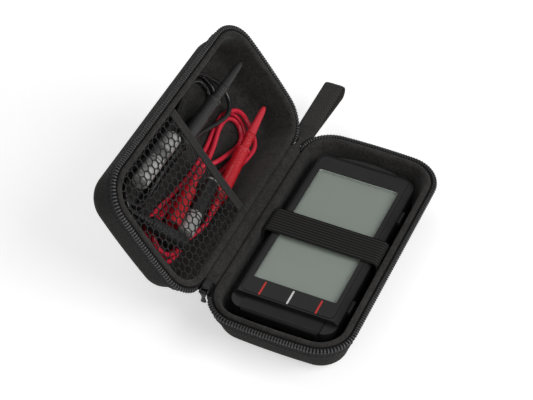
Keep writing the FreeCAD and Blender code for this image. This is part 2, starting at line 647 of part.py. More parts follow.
def fuse_clips():
    clips = []
    ring = FUSE_RADIUS + FINE_GAP
    for side in (-1, 1):
        x = side * (FUSE_LENGTH / 2 - 3)
        collar = rod(ring + 0.5, V(x - 2, FUSE_Y, FUSE_Z), V(x + 2, FUSE_Y, FUSE_Z))
        foot = block(x - 2, x + 2, FUSE_Y - 1.5, FUSE_Y + 1.5, FUSE_Z + FUSE_RADIUS, BOARD_Z)
        mouth = block(x - 3, x + 3, FUSE_Y - 1.7, FUSE_Y + 1.7, FUSE_Z - 5, FUSE_Z)
        bore = rod(ring, V(x - 3, FUSE_Y, FUSE_Z), V(x + 3, FUSE_Y, FUSE_Z))
        clips.append(collar.fuse(foot).cut(bore).cut(mouth).removeSplitter())
    return Part.makeCompound(clips)


def buzzer():
    x, y = -METER_WIDTH / 4, BOARD_FAR - 10
    can = rod(6.5, V(x, y, BOARD_Z - 5), V(x, y, BOARD_Z))
    return can.cut(rod(0.9, V(x, y, BOARD_Z - 6), V(x, y, BOARD_Z - 4)))


def battery_contacts():
    """Plates and coned springs at both ends of the two cell bays, standing on the bay's ceiling."""
    ceiling = SPLIT_Z - 2 * SLIP_GAP - BAY_WALL
    contacts = []
    for side in (-1, 1):
        for end in (-1, 1):
            x = side * BAY_WIDTH / 4
            y = BAY_Y + end * (BAY_LENGTH / 2 - 0.3)
            foot = METER_BACK + DOOR_THICKNESS + 1
            plate = block(x - 4, x + 4, y - 0.3, y + 0.3, foot, ceiling)
            spring = Part.makeCone(2.6, 1.4, 1.3, V(x, y - end * 0.2, (foot + ceiling) / 2), V(0, -end, 0))
            contacts.append(plate.fuse(spring).removeSplitter())
    return Part.makeCompound(contacts)


# Leads


def turned(profile, start, towards):
    """Solid of revolution from (distance, radius) pairs, laid from start along a direction."""
    points = [V(0, 0, profile[0][0])] + [V(r, 0, s) for s, r in profile] + [V(0, 0, profile[-1][0])]
    face = Part.Face(Part.makePolygon(points + points[:1]))
    solid = face.revolve(V(0, 0, 0), V(0, 0, 1), 360)
    solid.Placement = FreeCAD.Placement(start, FreeCAD.Rotation(V(0, 0, 1), towards))
    return solid


CAP_LENGTH = 23.0
NOSE_START = 15.5
BARREL_END = 35.0
HANDLE_START = 38.2
HANDLE_END = 77.0
BOOT_END = 88.0
SHROUD_DEPTH = 17.0
PLUG_LENGTH = 30.0
PLUG_BOOT_END = 40.0

# Where each piece lies in the lid, as two points on its axis. The probes reach for the far end wall, the
# black probe and the first cell keep to the wall away from the hinge, and the rest keep to the hinge.
STRETCH = SHELL_LENGTH / PLACED_LENGTH
WIDENED = SHELL_WIDTH - PLACED_WIDTH
PROBES = {"red": (in_lid(30.8, 69.6 * STRETCH, 9.0), in_lid(21.0, 14.0 * STRETCH, 13.5)),
          "black": (in_lid(64.2 + WIDENED, 72.4 * STRETCH, 6.4), in_lid(60.0 + WIDENED, -4.2, 15.0))}
PLUGS = {"red": (in_lid(34.9, -47.0, 14.7), in_lid(38.3, -19.7, 14.7)),
         "black": (in_lid(20.5, -48.4, 14.6), in_lid(47.9, -60.0, 14.6))}
CELLS = {"spare_cell_1": (in_lid(71.2 + WIDENED, -9.8, 8.1), in_lid(72.1 + WIDENED, -54.2, 8.1)),
         "spare_cell_2": (in_lid(28.4, 0.6, 14.6), in_lid(24.2, -43.6, 14.6))}


def heading(pair):
    direction = pair[1] - pair[0]
    return direction.normalize()


def along(pair, distance):
    return pair[0] + heading(pair) * distance


def probe_cap(pair):
    """Soft cap with a rounded tip, pushed over the probe's nose."""
    outer = turned([(0, 0.7), (0.5, 1.3), (3, 1.9), (CAP_LENGTH, CAP_RADIUS)], pair[0], heading(pair))
    nose_r, tip_r = NOSE_RADIUS + RUN_GAP, TIP_RADIUS + 0.25
    nose = turned([(NOSE_START - 0.3, nose_r), (CAP_LENGTH + 1, nose_r)], pair[0], heading(pair))
    bore = turned([(4, tip_r), (NOSE_START, tip_r)], pair[0], heading(pair))
    return outer.cut(nose.fuse(bore))


def probe_tip(pair):
    """Steel needle, seated in the barrel."""
    return turned([(5, 0.15), (8, TIP_RADIUS), (BARREL_END - 5, TIP_RADIUS)], pair[0], heading(pair))


def probe_body(pair):
    """Nose, grooved barrel, finger guard and handle."""
    ring = 0.3
    shoulder = CAP_LENGTH + SLIP_GAP
    profile = [(NOSE_START, NOSE_RADIUS), (shoulder, NOSE_RADIUS), (shoulder, BARREL_RADIUS - 0.3)]
    for k in range(3):
        s = BARREL_END - 8 + 2.4 * k
        profile += [(s, BARREL_RADIUS), (s, BARREL_RADIUS - ring),
                    (s + 0.8, BARREL_RADIUS - ring), (s + 0.8, BARREL_RADIUS)]
    profile += [(BARREL_END, BARREL_RADIUS), (BARREL_END + 0.4, GUARD_RADIUS - 0.5),
                (BARREL_END + 1.0, GUARD_RADIUS), (HANDLE_START - 1.0, GUARD_RADIUS),
                (HANDLE_START - 0.2, HANDLE_RADIUS - 0.2), (HANDLE_START + 2, HANDLE_RADIUS),
                (HANDLE_END - 1.5, HANDLE_RADIUS), (HANDLE_END, HANDLE_RADIUS - 1.0)]
    body = turned(profile, pair[0], heading(pair))
    tip_r = TIP_RADIUS + FINE_GAP
    bore = turned([(NOSE_START - 1, tip_r), (BARREL_END - 5, tip_r)], pair[0], heading(pair))
    return body.cut(bore)


def boot(pair, start, end):
    """Ribbed, tapered strain relief between a body and its cord."""
    ribs = 4
    step = (end - start) / ribs
    wide, narrow = 3.2, CORD_DIAMETER / 2 + 0.7
    profile = []
    for k in range(ribs):
        r = wide + (narrow - wide) * k / (ribs - 1)
        profile += [(start + k * step, r), (start + (k + 0.6) * step, r),
                    (start + (k + 0.6) * step, r - 0.4), (start + (k + 1) * step, r - 0.4)]
    return turned(profile, pair[0], heading(pair))


def plug_body(pair):
    """Shrouded plug: an open sleeve round the pin, and a solid grip."""
    r = PLUG_RADIUS
    waist = PLUG_LENGTH - 10
    outer = turned([(0, r - 0.3), (0.3, r), (waist, r), (waist + 0.4, r - 0.4), (waist + 2, r - 0.4),
                    (waist + 2.4, r), (PLUG_LENGTH - 1, r), (PLUG_LENGTH, r - 1)], pair[0], heading(pair))
    sleeve = turned([(-1, r - 1.2), (SHROUD_DEPTH, r - 1.2)], pair[0], heading(pair))
    pin_r = PIN_RADIUS + FINE_GAP
    root = turned([(SHROUD_DEPTH - 1, pin_r), (SHROUD_DEPTH + 6, pin_r)], pair[0], heading(pair))
    return outer.cut(sleeve.fuse(root))


def plug_pin(pair):
    return turned([(1.5, 1.2), (2.6, PIN_RADIUS), (SHROUD_DEPTH + 6, PIN_RADIUS)], pair[0], heading(pair))


def spare_cell(pair):
    """Dry cell with its raised terminal at the far end."""
    r, end = CELL_RADIUS, CELL_LENGTH
    profile = [(0, 1.9), (1.0, 1.9), (1.0, r - 0.8), (1.3, r), (end - 0.4, r), (end, r - 0.5)]
    return turned(profile, pair[0], heading(pair))


# Each hank: its centre line across the lid, half width, ends of the straight runs, and drawn-in waist.
# The tuck is how far the middle loop's inner strand moves out under its outer one at the top.
HANKS = {
    "red": {"centre": 32.2, "half": 14.6, "top": 48.0, "bottom": -50.0, "waist": 30.5,
            "waist_half": 9.8, "tuck": 0.4},
    "black": {"centre": 64.7 + WIDENED, "half": 13.2, "top": 43.5, "bottom": -48.0, "waist": 64.1 + WIDENED,
              "waist_half": 10.6, "tuck": 3.4},
}
WAIST_Y = 2.0
FOLD_WIDTH = 18.3                  # width of the smallest loop
LAYER_1 = LID_FLOOR_DEPTH - SEAT_GAP - CORD_DIAMETER / 2
LAYER_2 = LAYER_1 - LAYER_PITCH
UP, DOWN = V(0, 1, 0), V(0, -1, 0)

# The red lead's upper loop leans over to the left, then comes up beside its probe
LEANING_LOOP = {"red": [(in_lid(36.0, 61.6, 20.6), V(-1, 0, 0)), (in_lid(16.6, 44.0, 15.6), DOWN)]}

# Stations between the last loop and the plug, each with its direction
PLUG_APPROACH = {
    "red": [(in_lid(33.4, 13.0, 16.6), V(0.42, -1, 0.12))],
    "black": [(in_lid(62.3 + WIDENED, 2.0, LAYER_1), V(0.06, -1, 0)),
              (in_lid(64.7 + WIDENED, -22.0, 21.0), V(0.14, -1, 0.2)),
              (in_lid(73.3 + WIDENED, -56.5, 15.8), DOWN)],
}


def strand(hank, side, ring, layer_top, layer_bottom, top_shift=0.0):
    """Stations of one strand from top to bottom: run end, waist and run end, each as a point."""
    out = side * (hank["half"] - ring * STRAND_PITCH)
    drawn = side * (hank["waist_half"] - ring * STRAND_PITCH)
    return [in_lid(hank["centre"] + out + top_shift, hank["top"], layer_top),
            in_lid(hank["waist"] + drawn, WAIST_Y, layer_top),
            in_lid(hank["centre"] + out, hank["bottom"], layer_bottom)]


def going_up(points):
    return [(p, UP) for p in points[::-1]]


def going_down(points):
    return [(p, DOWN) for p in points]


def crown(hank, across_a, across_b, end, layer):
    """The station at the middle of a half turn between two strands."""
    radius = abs(across_a - across_b) / 2
    sign = 1 if end == "top" else -1
    direction = V(1, 0, 0) if across_b > across_a else V(-1, 0, 0)
    return in_lid((across_a + across_b) / 2, hank[end] + sign * radius, layer), direction


def hank_stations(name):
    """The whole lead from its probe to its plug: loops in two layers, stepping down on one run."""
    hank = HANKS[name]
    probe, plug = PROBES[name], PLUGS[name]
    outer, inner = hank["half"], hank["half"] - STRAND_PITCH
    centre = hank["centre"]
    l0, l1, r0, r1 = centre + outer, centre + inner, centre - outer, centre - inner
    middle = l1 - FOLD_WIDTH
    leaning = LEANING_LOOP.get(name)
    stations = [(along(probe, BOOT_END), heading(probe)),
                (along(probe, BOOT_END + CORD_DIAMETER), heading(probe))]
    stations.append((in_lid(r1, hank["bottom"], LAYER_2), DOWN))
    stations.append(crown(hank, r1, l1, "bottom", LAYER_2))
    stations += going_up(strand(hank, 1, 1, LAYER_2, LAYER_2, STRAND_PITCH if leaning else 0.0))
    step_down = going_down(strand(hank, -1, 0, LAYER_2, LAYER_1))
    stations += leaning + step_down[1:] if leaning else [crown(hank, l1, r0, "top", LAYER_2)] + step_down
    stations.append(crown(hank, r0, l0, "bottom", LAYER_1))
    stations += going_up(strand(hank, 1, 0, LAYER_1, LAYER_1))
    stations.append(crown(hank, l0, r1 - hank["tuck"], "top", LAYER_1))
    stations += going_down(strand(hank, -1, 1, LAYER_1, LAYER_1, -hank["tuck"]))
    stations.append(crown(hank, r1, l1, "bottom", LAYER_1))
    stations += going_up(strand(hank, 1, 1, LAYER_1, LAYER_1))
    stations.append(crown(hank, l1, middle, "top", LAYER_1))
    stations.append((in_lid(middle, hank["top"], LAYER_1), DOWN))
    stations += PLUG_APPROACH[name]
    back = heading(plug) * -1
    stations += [(along(plug, PLUG_BOOT_END + CORD_DIAMETER), back), (along(plug, PLUG_BOOT_END), back)]
    return stations


def biarc(p0, t0, p1, t1):
    """Two arcs that leave p0 along t0 and reach p1 along t1, or a line where all are in line."""
    t0, t1 = V(t0).normalize(), V(t1).normalize()
    gap = p1 - p0
    if gap.cross(t0).Length < 1e-6 * gap.Length and gap.cross(t1).Length < 1e-6 * gap.Length:
        return [(p0, None, p1)]
    a = 2 * (1 - t0.dot(t1))
    b = 2 * gap.dot(t0 + t1)
    c = -gap.dot(gap)
    reach = -c / b if a < 1e-9 else (-b + math.sqrt(b * b - 4 * a * c)) / (2 * a)
    knee0, knee1 = p0 + t0 * reach, p1 - t1 * reach
    joint = (knee0 + knee1) * 0.5
    return [arc_middle(p0, knee0, joint), arc_middle(joint, knee1, p1)]


def arc_middle(a, knee, b):
    """The arc from a to b that touches both sides of the corner at knee: its ends and its middle."""
    chord = (a + b) * 0.5
    half, rise = (b - a).Length / 2, (knee - chord).Length
    if rise < 1e-6:
        return a, None, b
    side = math.hypot(half, rise)
    sagitta = half * (side - half) / rise
    return a, chord + (knee - chord) * (sagitta / rise), b


def arc_radius(a, m, b):
    half, sagitta = (b - a).Length / 2, (m - (a + b) * 0.5).Length
    return (half ** 2 + sagitta ** 2) / (2 * sagitta)


def lead_cord(name):
    """One unbroken tube from the probe's boot, through the loops, to the plug's boot."""
    stations = hank_stations(name)
    pieces = []
    for (p0, t0), (p1, t1) in zip(stations, stations[1:]):
        pieces += biarc(p0, t0, p1, t1)
    edges = [line(a, b) if m is None else arc(a, m, b) for a, m, b in pieces]
    path = Part.Wire(edges)
    tightest = min(arc_radius(*piece) for piece in pieces if piece[1] is not None)
    start, direction = stations[0]
    ring = Part.Wire(Part.makeCircle(CORD_DIAMETER / 2, start, direction))
    tube = path.makePipeShell([ring], True, False)
    length = sum(e.Length for e in edges)
    expected = math.pi * CORD_DIAMETER ** 2 / 4 * length
    print(name, "cord length %.1f, tightest radius %.2f, volume ratio %.5f, least gap %.2f"
          % (length, tightest, tube.Volume / expected, least_gap(edges)))
    return tube


def least_gap(edges):
    """Least distance between the cord's surfaces, on points at least three diameters apart along it."""
    step = 1.5
    points = []
    run = 0.0
    for edge in edges:
        count = max(2, int(edge.Length / step) + 1)
        spots = edge.discretize(Number=count)
        points += [(run + edge.Length * k / (count - 1), p) for k, p in enumerate(spots)]
        run += edge.Length
    apart = 4 * CORD_DIAMETER
    least = FAR
    for i, (si, pi) in enumerate(points):
        for sj, pj in points[i + 1:]:
            if sj - si > apart:
                least = min(least, (pi - pj).Length)
    return least - CORD_DIAMETER


def build():
    nodes = {
        "base_shell": shell(RIM, END_LEAN),
        "base_zip_tape": zip_tape(RIM),
        "base_zip_coil": zip_coil(RIM),
        "base_spine": spine(RIM, True),
        "zip_slider": zip_slider(),
        "zip_pull": zip_pull(),
        "meter_strap": meter_strap(),
        "wrist_strap": wrist_strap(),
        "lid_shell": lid_side(shell(LID_DEPTH)),
        "lid_zip_tape": lid_side(zip_tape(LID_DEPTH)),
        "lid_zip_coil": lid_side(zip_coil(LID_DEPTH)),
        "lid_spine": lid_side(spine(LID_DEPTH, False)),
        "net_pocket": lid_side(net_pocket()),
        "net_binding": lid_side(net_binding()),
        "front_cover": front_cover(),
        "rear_cover": rear_cover(),
        "battery_door": battery_door(),
        "battery_door_screw": screw(0, DOOR_SCREW_Y, METER_BACK, 1.0, 6),
        "case_screws": case_screws(),
        "screen_window": screen_window(),
        "lcd_panel": lcd_panel(),
        "lcd_connector_strips": lcd_connector_strips(),
        "circuit_board": circuit_board(),
        "main_chip": main_chip(),
        "tact_switches": tact_switches(),
        "jack_block": jack_block(),
        "input_jacks": input_jacks(),
        "fuse": fuse_link(),
        "fuse_clips": fuse_clips(),
        "buzzer": buzzer(),
        "battery_contacts": battery_contacts(),
    }
    for name, y in BUTTON_PLACES.items():
        nodes[name] = side_button(y)
    for name, pair in CELLS.items():
        nodes[name] = lid_side(spare_cell(pair))
    for colour in ("red", "black"):
        probe, plug = PROBES[colour], PLUGS[colour]
        nodes[colour + "_probe_cap"] = lid_side(probe_cap(probe))
        nodes[colour + "_probe_tip"] = lid_side(probe_tip(probe))
        nodes[colour + "_probe_body"] = lid_side(probe_body(probe))
        nodes[colour + "_probe_boot"] = lid_side(boot(probe, HANDLE_END, BOOT_END))
        nodes[colour + "_plug_body"] = lid_side(plug_body(plug))
        nodes[colour + "_plug_pin"] = lid_side(plug_pin(plug))
        nodes[colour + "_plug_boot"] = lid_side(boot(plug, PLUG_LENGTH, PLUG_BOOT_END))
        nodes[colour + "_lead_cord"] = lid_side(lead_cord(colour))
    return nodes


os.makedirs("parts", exist_ok=True)
for node, shape in build().items():
    print(node, len(shape.Solids), shape.isValid(), "%.1f" % shape.Volume)
    shape.exportStep("parts/%s.step" % node)
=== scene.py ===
"""Pocket meter kit in an open zipped case: surfaces, finishes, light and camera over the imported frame.

Sizes are in millimetres and become metres as each mesh is made. The case's tray frame has the fold at
x = HINGE_X and the rim plane at z = RIM; lid pieces are worked out in it, then mirrored over the fold
and swung up to the open lid's angle.
"""
import math
import bmesh
import bpy
import numpy as np
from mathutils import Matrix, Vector


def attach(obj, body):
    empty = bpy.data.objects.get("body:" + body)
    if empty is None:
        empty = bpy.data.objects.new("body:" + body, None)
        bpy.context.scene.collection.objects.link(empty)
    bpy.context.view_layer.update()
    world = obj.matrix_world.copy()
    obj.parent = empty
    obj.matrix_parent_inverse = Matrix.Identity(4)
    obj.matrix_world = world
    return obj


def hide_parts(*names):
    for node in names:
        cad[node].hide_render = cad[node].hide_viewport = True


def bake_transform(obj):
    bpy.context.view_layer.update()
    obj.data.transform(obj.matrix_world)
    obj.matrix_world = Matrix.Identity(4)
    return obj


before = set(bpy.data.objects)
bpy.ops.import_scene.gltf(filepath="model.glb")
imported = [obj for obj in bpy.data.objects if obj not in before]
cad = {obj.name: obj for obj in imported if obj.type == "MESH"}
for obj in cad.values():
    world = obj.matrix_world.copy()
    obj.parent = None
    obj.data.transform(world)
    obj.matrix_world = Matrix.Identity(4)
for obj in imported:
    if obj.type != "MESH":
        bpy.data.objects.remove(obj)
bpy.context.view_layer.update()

MM = 0.001
X_WAY, Y_WAY, Z_WAY = np.eye(3)

# Case
HINGE_X, RIM = -47.0, 30.0
LID_TILT = math.radians(55.0)
HALF_WIDTH, HALF_LENGTH, CORNER, BOW = 43.0, 84.0, 20.0, 2.0
DRAFT, WALL, FLOOR = 2.5, 4.2, 3.2
SKIN_TAPER, END_LEAN, TAPER_TOP = 2.2, 3.5, 22.0
OUTER_ROUND, INNER_ROUND, RIM_ROUND, RIM_CLEAR = 11.5, 6.8, 1.9, 0.1
SPINE_HALF, FOLD_EXTRA = 61.8, 12.0
HINGE_GAP = CORNER - HALF_WIDTH - HINGE_X
TOOTH_PITCH = 1.78
STITCH_PITCH = 3.2
ROUND_COUNT = 240


# Meshes


def joined(*parts):
    """Points from their coordinates, spread to one shape."""
    return np.stack(np.broadcast_arrays(*parts), -1)


def unit(ways):
    """Directions scaled to a length of 1."""
    return ways / np.linalg.norm(ways, axis=-1, keepdims=True)


def circle(count):
    """Angles evenly round a circle."""
    return np.linspace(0, 2 * math.pi, count, endpoint=False)


def both_ends(values):
    """Values with the first and the last given twice, to suit a capped tube."""
    return np.concatenate([values[:1], values, values[-1:]])


def squared_off(wave, power):
    """A sine or cosine raised to a power, with its sign kept."""
    return np.sign(wave) * np.abs(wave) ** power


def patch(points, rows_closed=False, columns_closed=False, u=None, v=None, slot=0):
    """A grid of points, rows by columns, or many copies of one: points, quads, map and finish numbers.

    Each quad joins a point to its neighbours in the next row and column, and a closed way wraps round.
    The map's u follows the columns and v the rows, in millimetres.
    """
    points = np.asarray(points, float)
    if points.ndim == 3:
        points = points[None]
    copies, rows, columns = points.shape[:3]
    r = np.arange(rows if rows_closed else rows - 1)
    c = np.arange(columns if columns_closed else columns - 1)
    r, c = (g.ravel() for g in np.meshgrid(r, c, indexing="ij"))
    corner_r = np.stack([r, r, r + 1, r + 1], -1)
    corner_c = np.stack([c, c + 1, c + 1, c], -1)
    quads = (corner_r % rows) * columns + corner_c % columns
    quads = quads[None] + (np.arange(copies) * rows * columns)[:, None, None]
    u = np.arange(columns + 1.0) if u is None else np.asarray(u, float)
    v = np.arange(rows + 1.0) if v is None else np.asarray(v, float)
    where = np.stack([u[corner_c], v[corner_r]], -1) * MM
    where = np.broadcast_to(where, (copies,) + where.shape)
    quads = quads.reshape(-1, 4)
    return points.reshape(-1, 3), quads, where.reshape(-1, 2), np.full(len(quads), slot)


def piece(name, patches, finishes, body, replaces=(), sharp=40.0):
    """Joins patches into one mesh with doubles merged and faces turned outwards, riding on a body."""
    starts = np.cumsum([0] + [len(p[0]) for p in patches[:-1]])
    points = np.concatenate([p[0] for p in patches]) * MM
    quads = np.concatenate([p[1] + start for p, start in zip(patches, starts)])
    mesh = bpy.data.meshes.new(name)
    mesh.from_pydata(points.tolist(), [], quads.tolist())
    mesh.uv_layers.new(name="UVMap").data.foreach_set("uv", np.concatenate([p[2] for p in patches]).ravel())
    mesh.polygons.foreach_set("material_index", np.concatenate([p[3] for p in patches]).astype(np.int32))
    for finish in finishes:
        mesh.materials.append(finish)
    work = bmesh.new()
    work.from_mesh(mesh)
    bmesh.ops.remove_doubles(work, verts=work.verts[:], dist=2e-6)
    bmesh.ops.dissolve_degenerate(work, edges=work.edges[:], dist=1e-6)
    bmesh.ops.recalc_face_normals(work, faces=work.faces[:])
    work.to_mesh(mesh)
    work.free()
    mesh.polygons.foreach_set("use_smooth", np.ones(len(mesh.polygons), bool))
    mesh.set_sharp_from_angle(angle=math.radians(sharp))
    obj = bpy.data.objects.new(name, mesh)
    bpy.context.scene.collection.objects.link(obj)
    if body:
        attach(obj, body)
    if replaces:
        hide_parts(*replaces)
    return obj


def in_lid(points):
    """Tray-frame points mirrored over the fold and swung up: p across from the fold, d below the rim."""
    points = np.asarray(points, float)
    p, y, d = points[..., 0] - HINGE_X, points[..., 1], RIM - points[..., 2]
    x = HINGE_X - p * math.cos(LID_TILT) - d * math.sin(LID_TILT)
    z = RIM + p * math.sin(LID_TILT) - d * math.cos(LID_TILT)
    return joined(x, y, z)


def as_built(points):
    return np.asarray(points, float)


def lengths(line):
    """Distance along a line of points, from its first."""
    steps = np.linalg.norm(np.diff(line, axis=0), axis=-1)
    return np.concatenate([[0.0], np.cumsum(steps)])


def ease(t):
    """0 to 1 with level ends: 3t squared less 2t cubed."""
    t = np.clip(t, 0.0, 1.0)
    return t * t * (3 - 2 * t)


def capped(points):
    """Closes a tube's two ends: a first and a last column drawn in to the middle of the end sections."""
    first = np.broadcast_to(points[:, :1].mean(0, keepdims=True), points[:, :1].shape)
    last = np.broadcast_to(points[:, -1:].mean(0, keepdims=True), points[:, -1:].shape)
    return np.concatenate([first, points, last], 1)


def softened(line, cut, steps=4):
    """A line with each corner replaced by a short curve that starts and ends a cut away from it."""
    line = np.asarray(line, float)
    corner, before, after = line[1:-1], line[:-2] - line[1:-1], line[2:] - line[1:-1]
    size_b = np.linalg.norm(before, axis=1, keepdims=True)
    size_a = np.linalg.norm(after, axis=1, keepdims=True)
    start = corner + before * np.minimum(cut / size_b, 0.45)
    end = corner + after * np.minimum(cut / size_a, 0.45)
    t = np.linspace(0, 1, steps)[None, :, None]
    curve = (1 - t) ** 2 * start[:, None] + 2 * t * (1 - t) * corner[:, None] + t ** 2 * end[:, None]
    return np.concatenate([line[:1], curve.reshape(-1, line.shape[1]), line[-1:]])


def swept(path, side, up, section):
    """A section carried along a path: each of its (across, above) points is set off along side and up.

    Rows follow the section and columns the path.
    """
    across, above = section[:, 0, None, None], section[:, 1, None, None]
    return path[None] + across * side[None] + above * up[None]


def band_section(width, thickness, ribs=0, rib_height=0.0, count=9):
    """Closed outline of a flat band: an upper face with rounded ribs, two round edges and a lower face."""
    r = thickness / 2
    flat = width / 2 - r
    t = np.linspace(-1, 1, max(count, ribs * 8 + 1))
    dip = (0.5 + 0.5 * np.cos(math.pi * ribs * (t + 1))) ** 3
    upper = joined(flat * t, r - rib_height * dip if ribs else r)
    turn = np.linspace(0, math.pi, 7)[1:-1]
    right = joined(flat + r * np.sin(turn), r * np.cos(turn))
    lower = joined(flat * np.linspace(1, -1, count), -r)
    return np.concatenate([upper, right, lower, -right])


def turned(profile, start, towards, sides=40, slot=0):
    """A lathe shape: each (distance, radius) point of a profile is carried in a circle round an axis."""
    profile = np.asarray(profile, float)
    start, axis = np.asarray(start, float), unit(np.asarray(towards, float))
    side = unit(np.cross(axis, Z_WAY if abs(axis[2]) < 0.9 else X_WAY))
    angle = circle(sides)
    ring = np.cos(angle)[:, None] * side + np.sin(angle)[:, None] * np.cross(axis, side)
    points = start + profile[:, :1, None] * axis + profile[:, 1:, None] * ring
    u = np.linspace(0, 2 * math.pi * profile[:, 1].max(), sides + 1)
    return patch(points, columns_closed=True, u=u, v=profile[:, 0], slot=slot)


def beads(places, forward, up, length, width, height, sides=6):
    """Many stitches: a bead that swells from its ends to its middle, set at each place along forward."""
    t = np.linspace(-1, 1, 5)
    swell = np.sqrt(np.maximum(1 - t ** 4, 0.0))
    turn = circle(sides)
    along = (length / 2 * t)[:, None] * np.ones(sides)
    across = swell[:, None] * np.cos(turn) * width / 2
    above = swell[:, None] * np.sin(turn) * height / 2
    side = np.cross(up, forward)
    points = (places[:, None, None] + along[..., None] * forward[:, None, None]
              + across[..., None] * side[:, None, None] + above[..., None] * up[:, None, None])
    return patch(points, columns_closed=True)


# The case's outline


def outline_parts():
    """Corner centre, meeting angle and bow radius of the rim outline: four arcs, two sides, two bows."""
    bow_r = (HALF_WIDTH ** 2 + BOW ** 2) / (2 * BOW)
    bow_y = HALF_LENGTH - bow_r
    corner_x = HALF_WIDTH - CORNER
    corner_y = bow_y + math.sqrt((bow_r - CORNER) ** 2 - corner_x ** 2)
    meet = math.atan2(corner_y - bow_y, corner_x)
    return corner_x, corner_y, meet, bow_r, bow_y


CORNER_X, CORNER_Y, MEET, BOW_R, BOW_Y = outline_parts()
ARC = CORNER * MEET
END = BOW_R * (math.pi - 2 * MEET)
RIM_LENGTH = 4 * CORNER_Y + 4 * ARC + 2 * END


def rim_at(s):
    """Points and outward directions on the rim outline, by distance from the middle of the hinge side.

    The way round is the hinge side to the near end, the free side and the far end. A side runs straight, and
    a corner or an end runs on a circle, where the direction is the circle's own.
    """
    s = np.mod(np.asarray(s, float), RIM_LENGTH)
    parts = [("side", CORNER_Y, -1), ("arc", ARC, (-CORNER_X, -CORNER_Y, CORNER, math.pi)),
             ("arc", END, (0, -BOW_Y, BOW_R, math.pi + MEET)),
             ("arc", ARC, (CORNER_X, -CORNER_Y, CORNER, 2 * math.pi - MEET)), ("side", 2 * CORNER_Y, 1),
             ("arc", ARC, (CORNER_X, CORNER_Y, CORNER, 0.0)), ("arc", END, (0, BOW_Y, BOW_R, MEET)),
             ("arc", ARC, (-CORNER_X, CORNER_Y, CORNER, math.pi - MEET)), ("side", CORNER_Y, -2)]
    place, out = np.zeros(s.shape + (2,)), np.zeros(s.shape + (2,))
    start = 0.0
    for kind, length, facts in parts:
        here = (s >= start - 1e-9) & (s <= start + length + 1e-9)
        run = (s - start)[..., None]
        if kind == "arc":
            angle = facts[3] + run / facts[2]
            normal = np.concatenate([np.cos(angle), np.sin(angle)], -1)
            point = np.array(facts[:2]) + facts[2] * normal
        else:
            sign = 1.0 if facts == 1 else -1.0
            y = {-1: -run, 1: run - CORNER_Y, -2: CORNER_Y - run}[facts]
            point = np.concatenate([np.full_like(y, sign * HALF_WIDTH), y], -1)
            normal = np.broadcast_to([sign, 0.0], point.shape)
        place = np.where(here[..., None], point, place)
        out = np.where(here[..., None], normal, out)
        start += length
    return place, out


def round_rim(s, offset, z):
    """Rows at (offset, z) and columns at distances s: the outline's points set out along its directions."""
    place, out = rim_at(s)
    flat = place[None] + np.asarray(offset, float).reshape(len(z), -1, 1) * out[None]
    return joined(flat[..., 0], flat[..., 1], np.asarray(z, float)[:, None])


def curve(centre, radius, start, end, count):
    """Part of a circle in the (offset, z) plane, by its angles in degrees."""
    angle = np.radians(np.linspace(start, end, count))
    return joined(centre[0] + radius * np.cos(angle), centre[1] + radius * np.sin(angle))


def drawn_in(z):
    """How far the outside has closed in below the zip: a power of the depth, from 0 to 1 at the bottom."""
    return np.clip((TAPER_TOP - np.asarray(z, float)) / TAPER_TOP, 0.0, 1.0) ** 1.3


def lean_ends(points, lean):
    """Both end walls moved in by a lean, and the long sides shortened in proportion to suit."""
    y = points[..., 1]
    return joined(points[..., 0], y - np.clip(y / CORNER_Y, -1.0, 1.0) * lean, points[..., 2])


def wall_offset(z, inset=0.0):
    """A drafted wall's offset from the rim outline: an inset and a straight slope below the rim."""
    return -inset - DRAFT / RIM * (RIM - z)


def shell_profiles():
    """(offset, z) lines of the tray's wall: the outside from the bottom up over the rim, then the lining."""
    lean = math.atan(DRAFT / RIM)
    touch = 9.3

    def skin(z):
        return wall_offset(z) - SKIN_TAPER * drawn_in(z)

    slant = math.atan(skin(touch + 0.5) - skin(touch - 0.5))
    low_x = skin(touch) + (OUTER_ROUND - touch) * math.tan(slant) - OUTER_ROUND / math.cos(slant)
    deep_z, edge_z = FLOOR + INNER_ROUND, RIM - RIM_ROUND - RIM_CLEAR
    deep_x = wall_offset(deep_z, WALL) - INNER_ROUND / math.cos(lean)
    edge_x = wall_offset(edge_z) - RIM_ROUND / math.cos(lean)
    lip_x = wall_offset(edge_z, WALL) + RIM_ROUND / math.cos(lean)
    lean, slant = math.degrees(lean), math.degrees(slant)
    rise = np.linspace(10.4, edge_z - 1.2, 9)
    fall = np.linspace(edge_z - 1.2, 11.5, 7)
    outside = np.concatenate([curve((low_x, OUTER_ROUND), OUTER_ROUND, -90, -slant, 11),
                              joined(skin(rise), rise),
                              curve((edge_x, edge_z), RIM_ROUND, -lean, 35, 4)])
    lining = np.concatenate([curve((edge_x, edge_z), RIM_ROUND, 35, 90, 5),
                             curve((lip_x, edge_z), RIM_ROUND, 90, 180 - lean, 7),
                             joined(wall_offset(fall, WALL), fall),
                             curve((deep_x, deep_z), INNER_ROUND, -lean, -90, 10)])
    return outside, lining


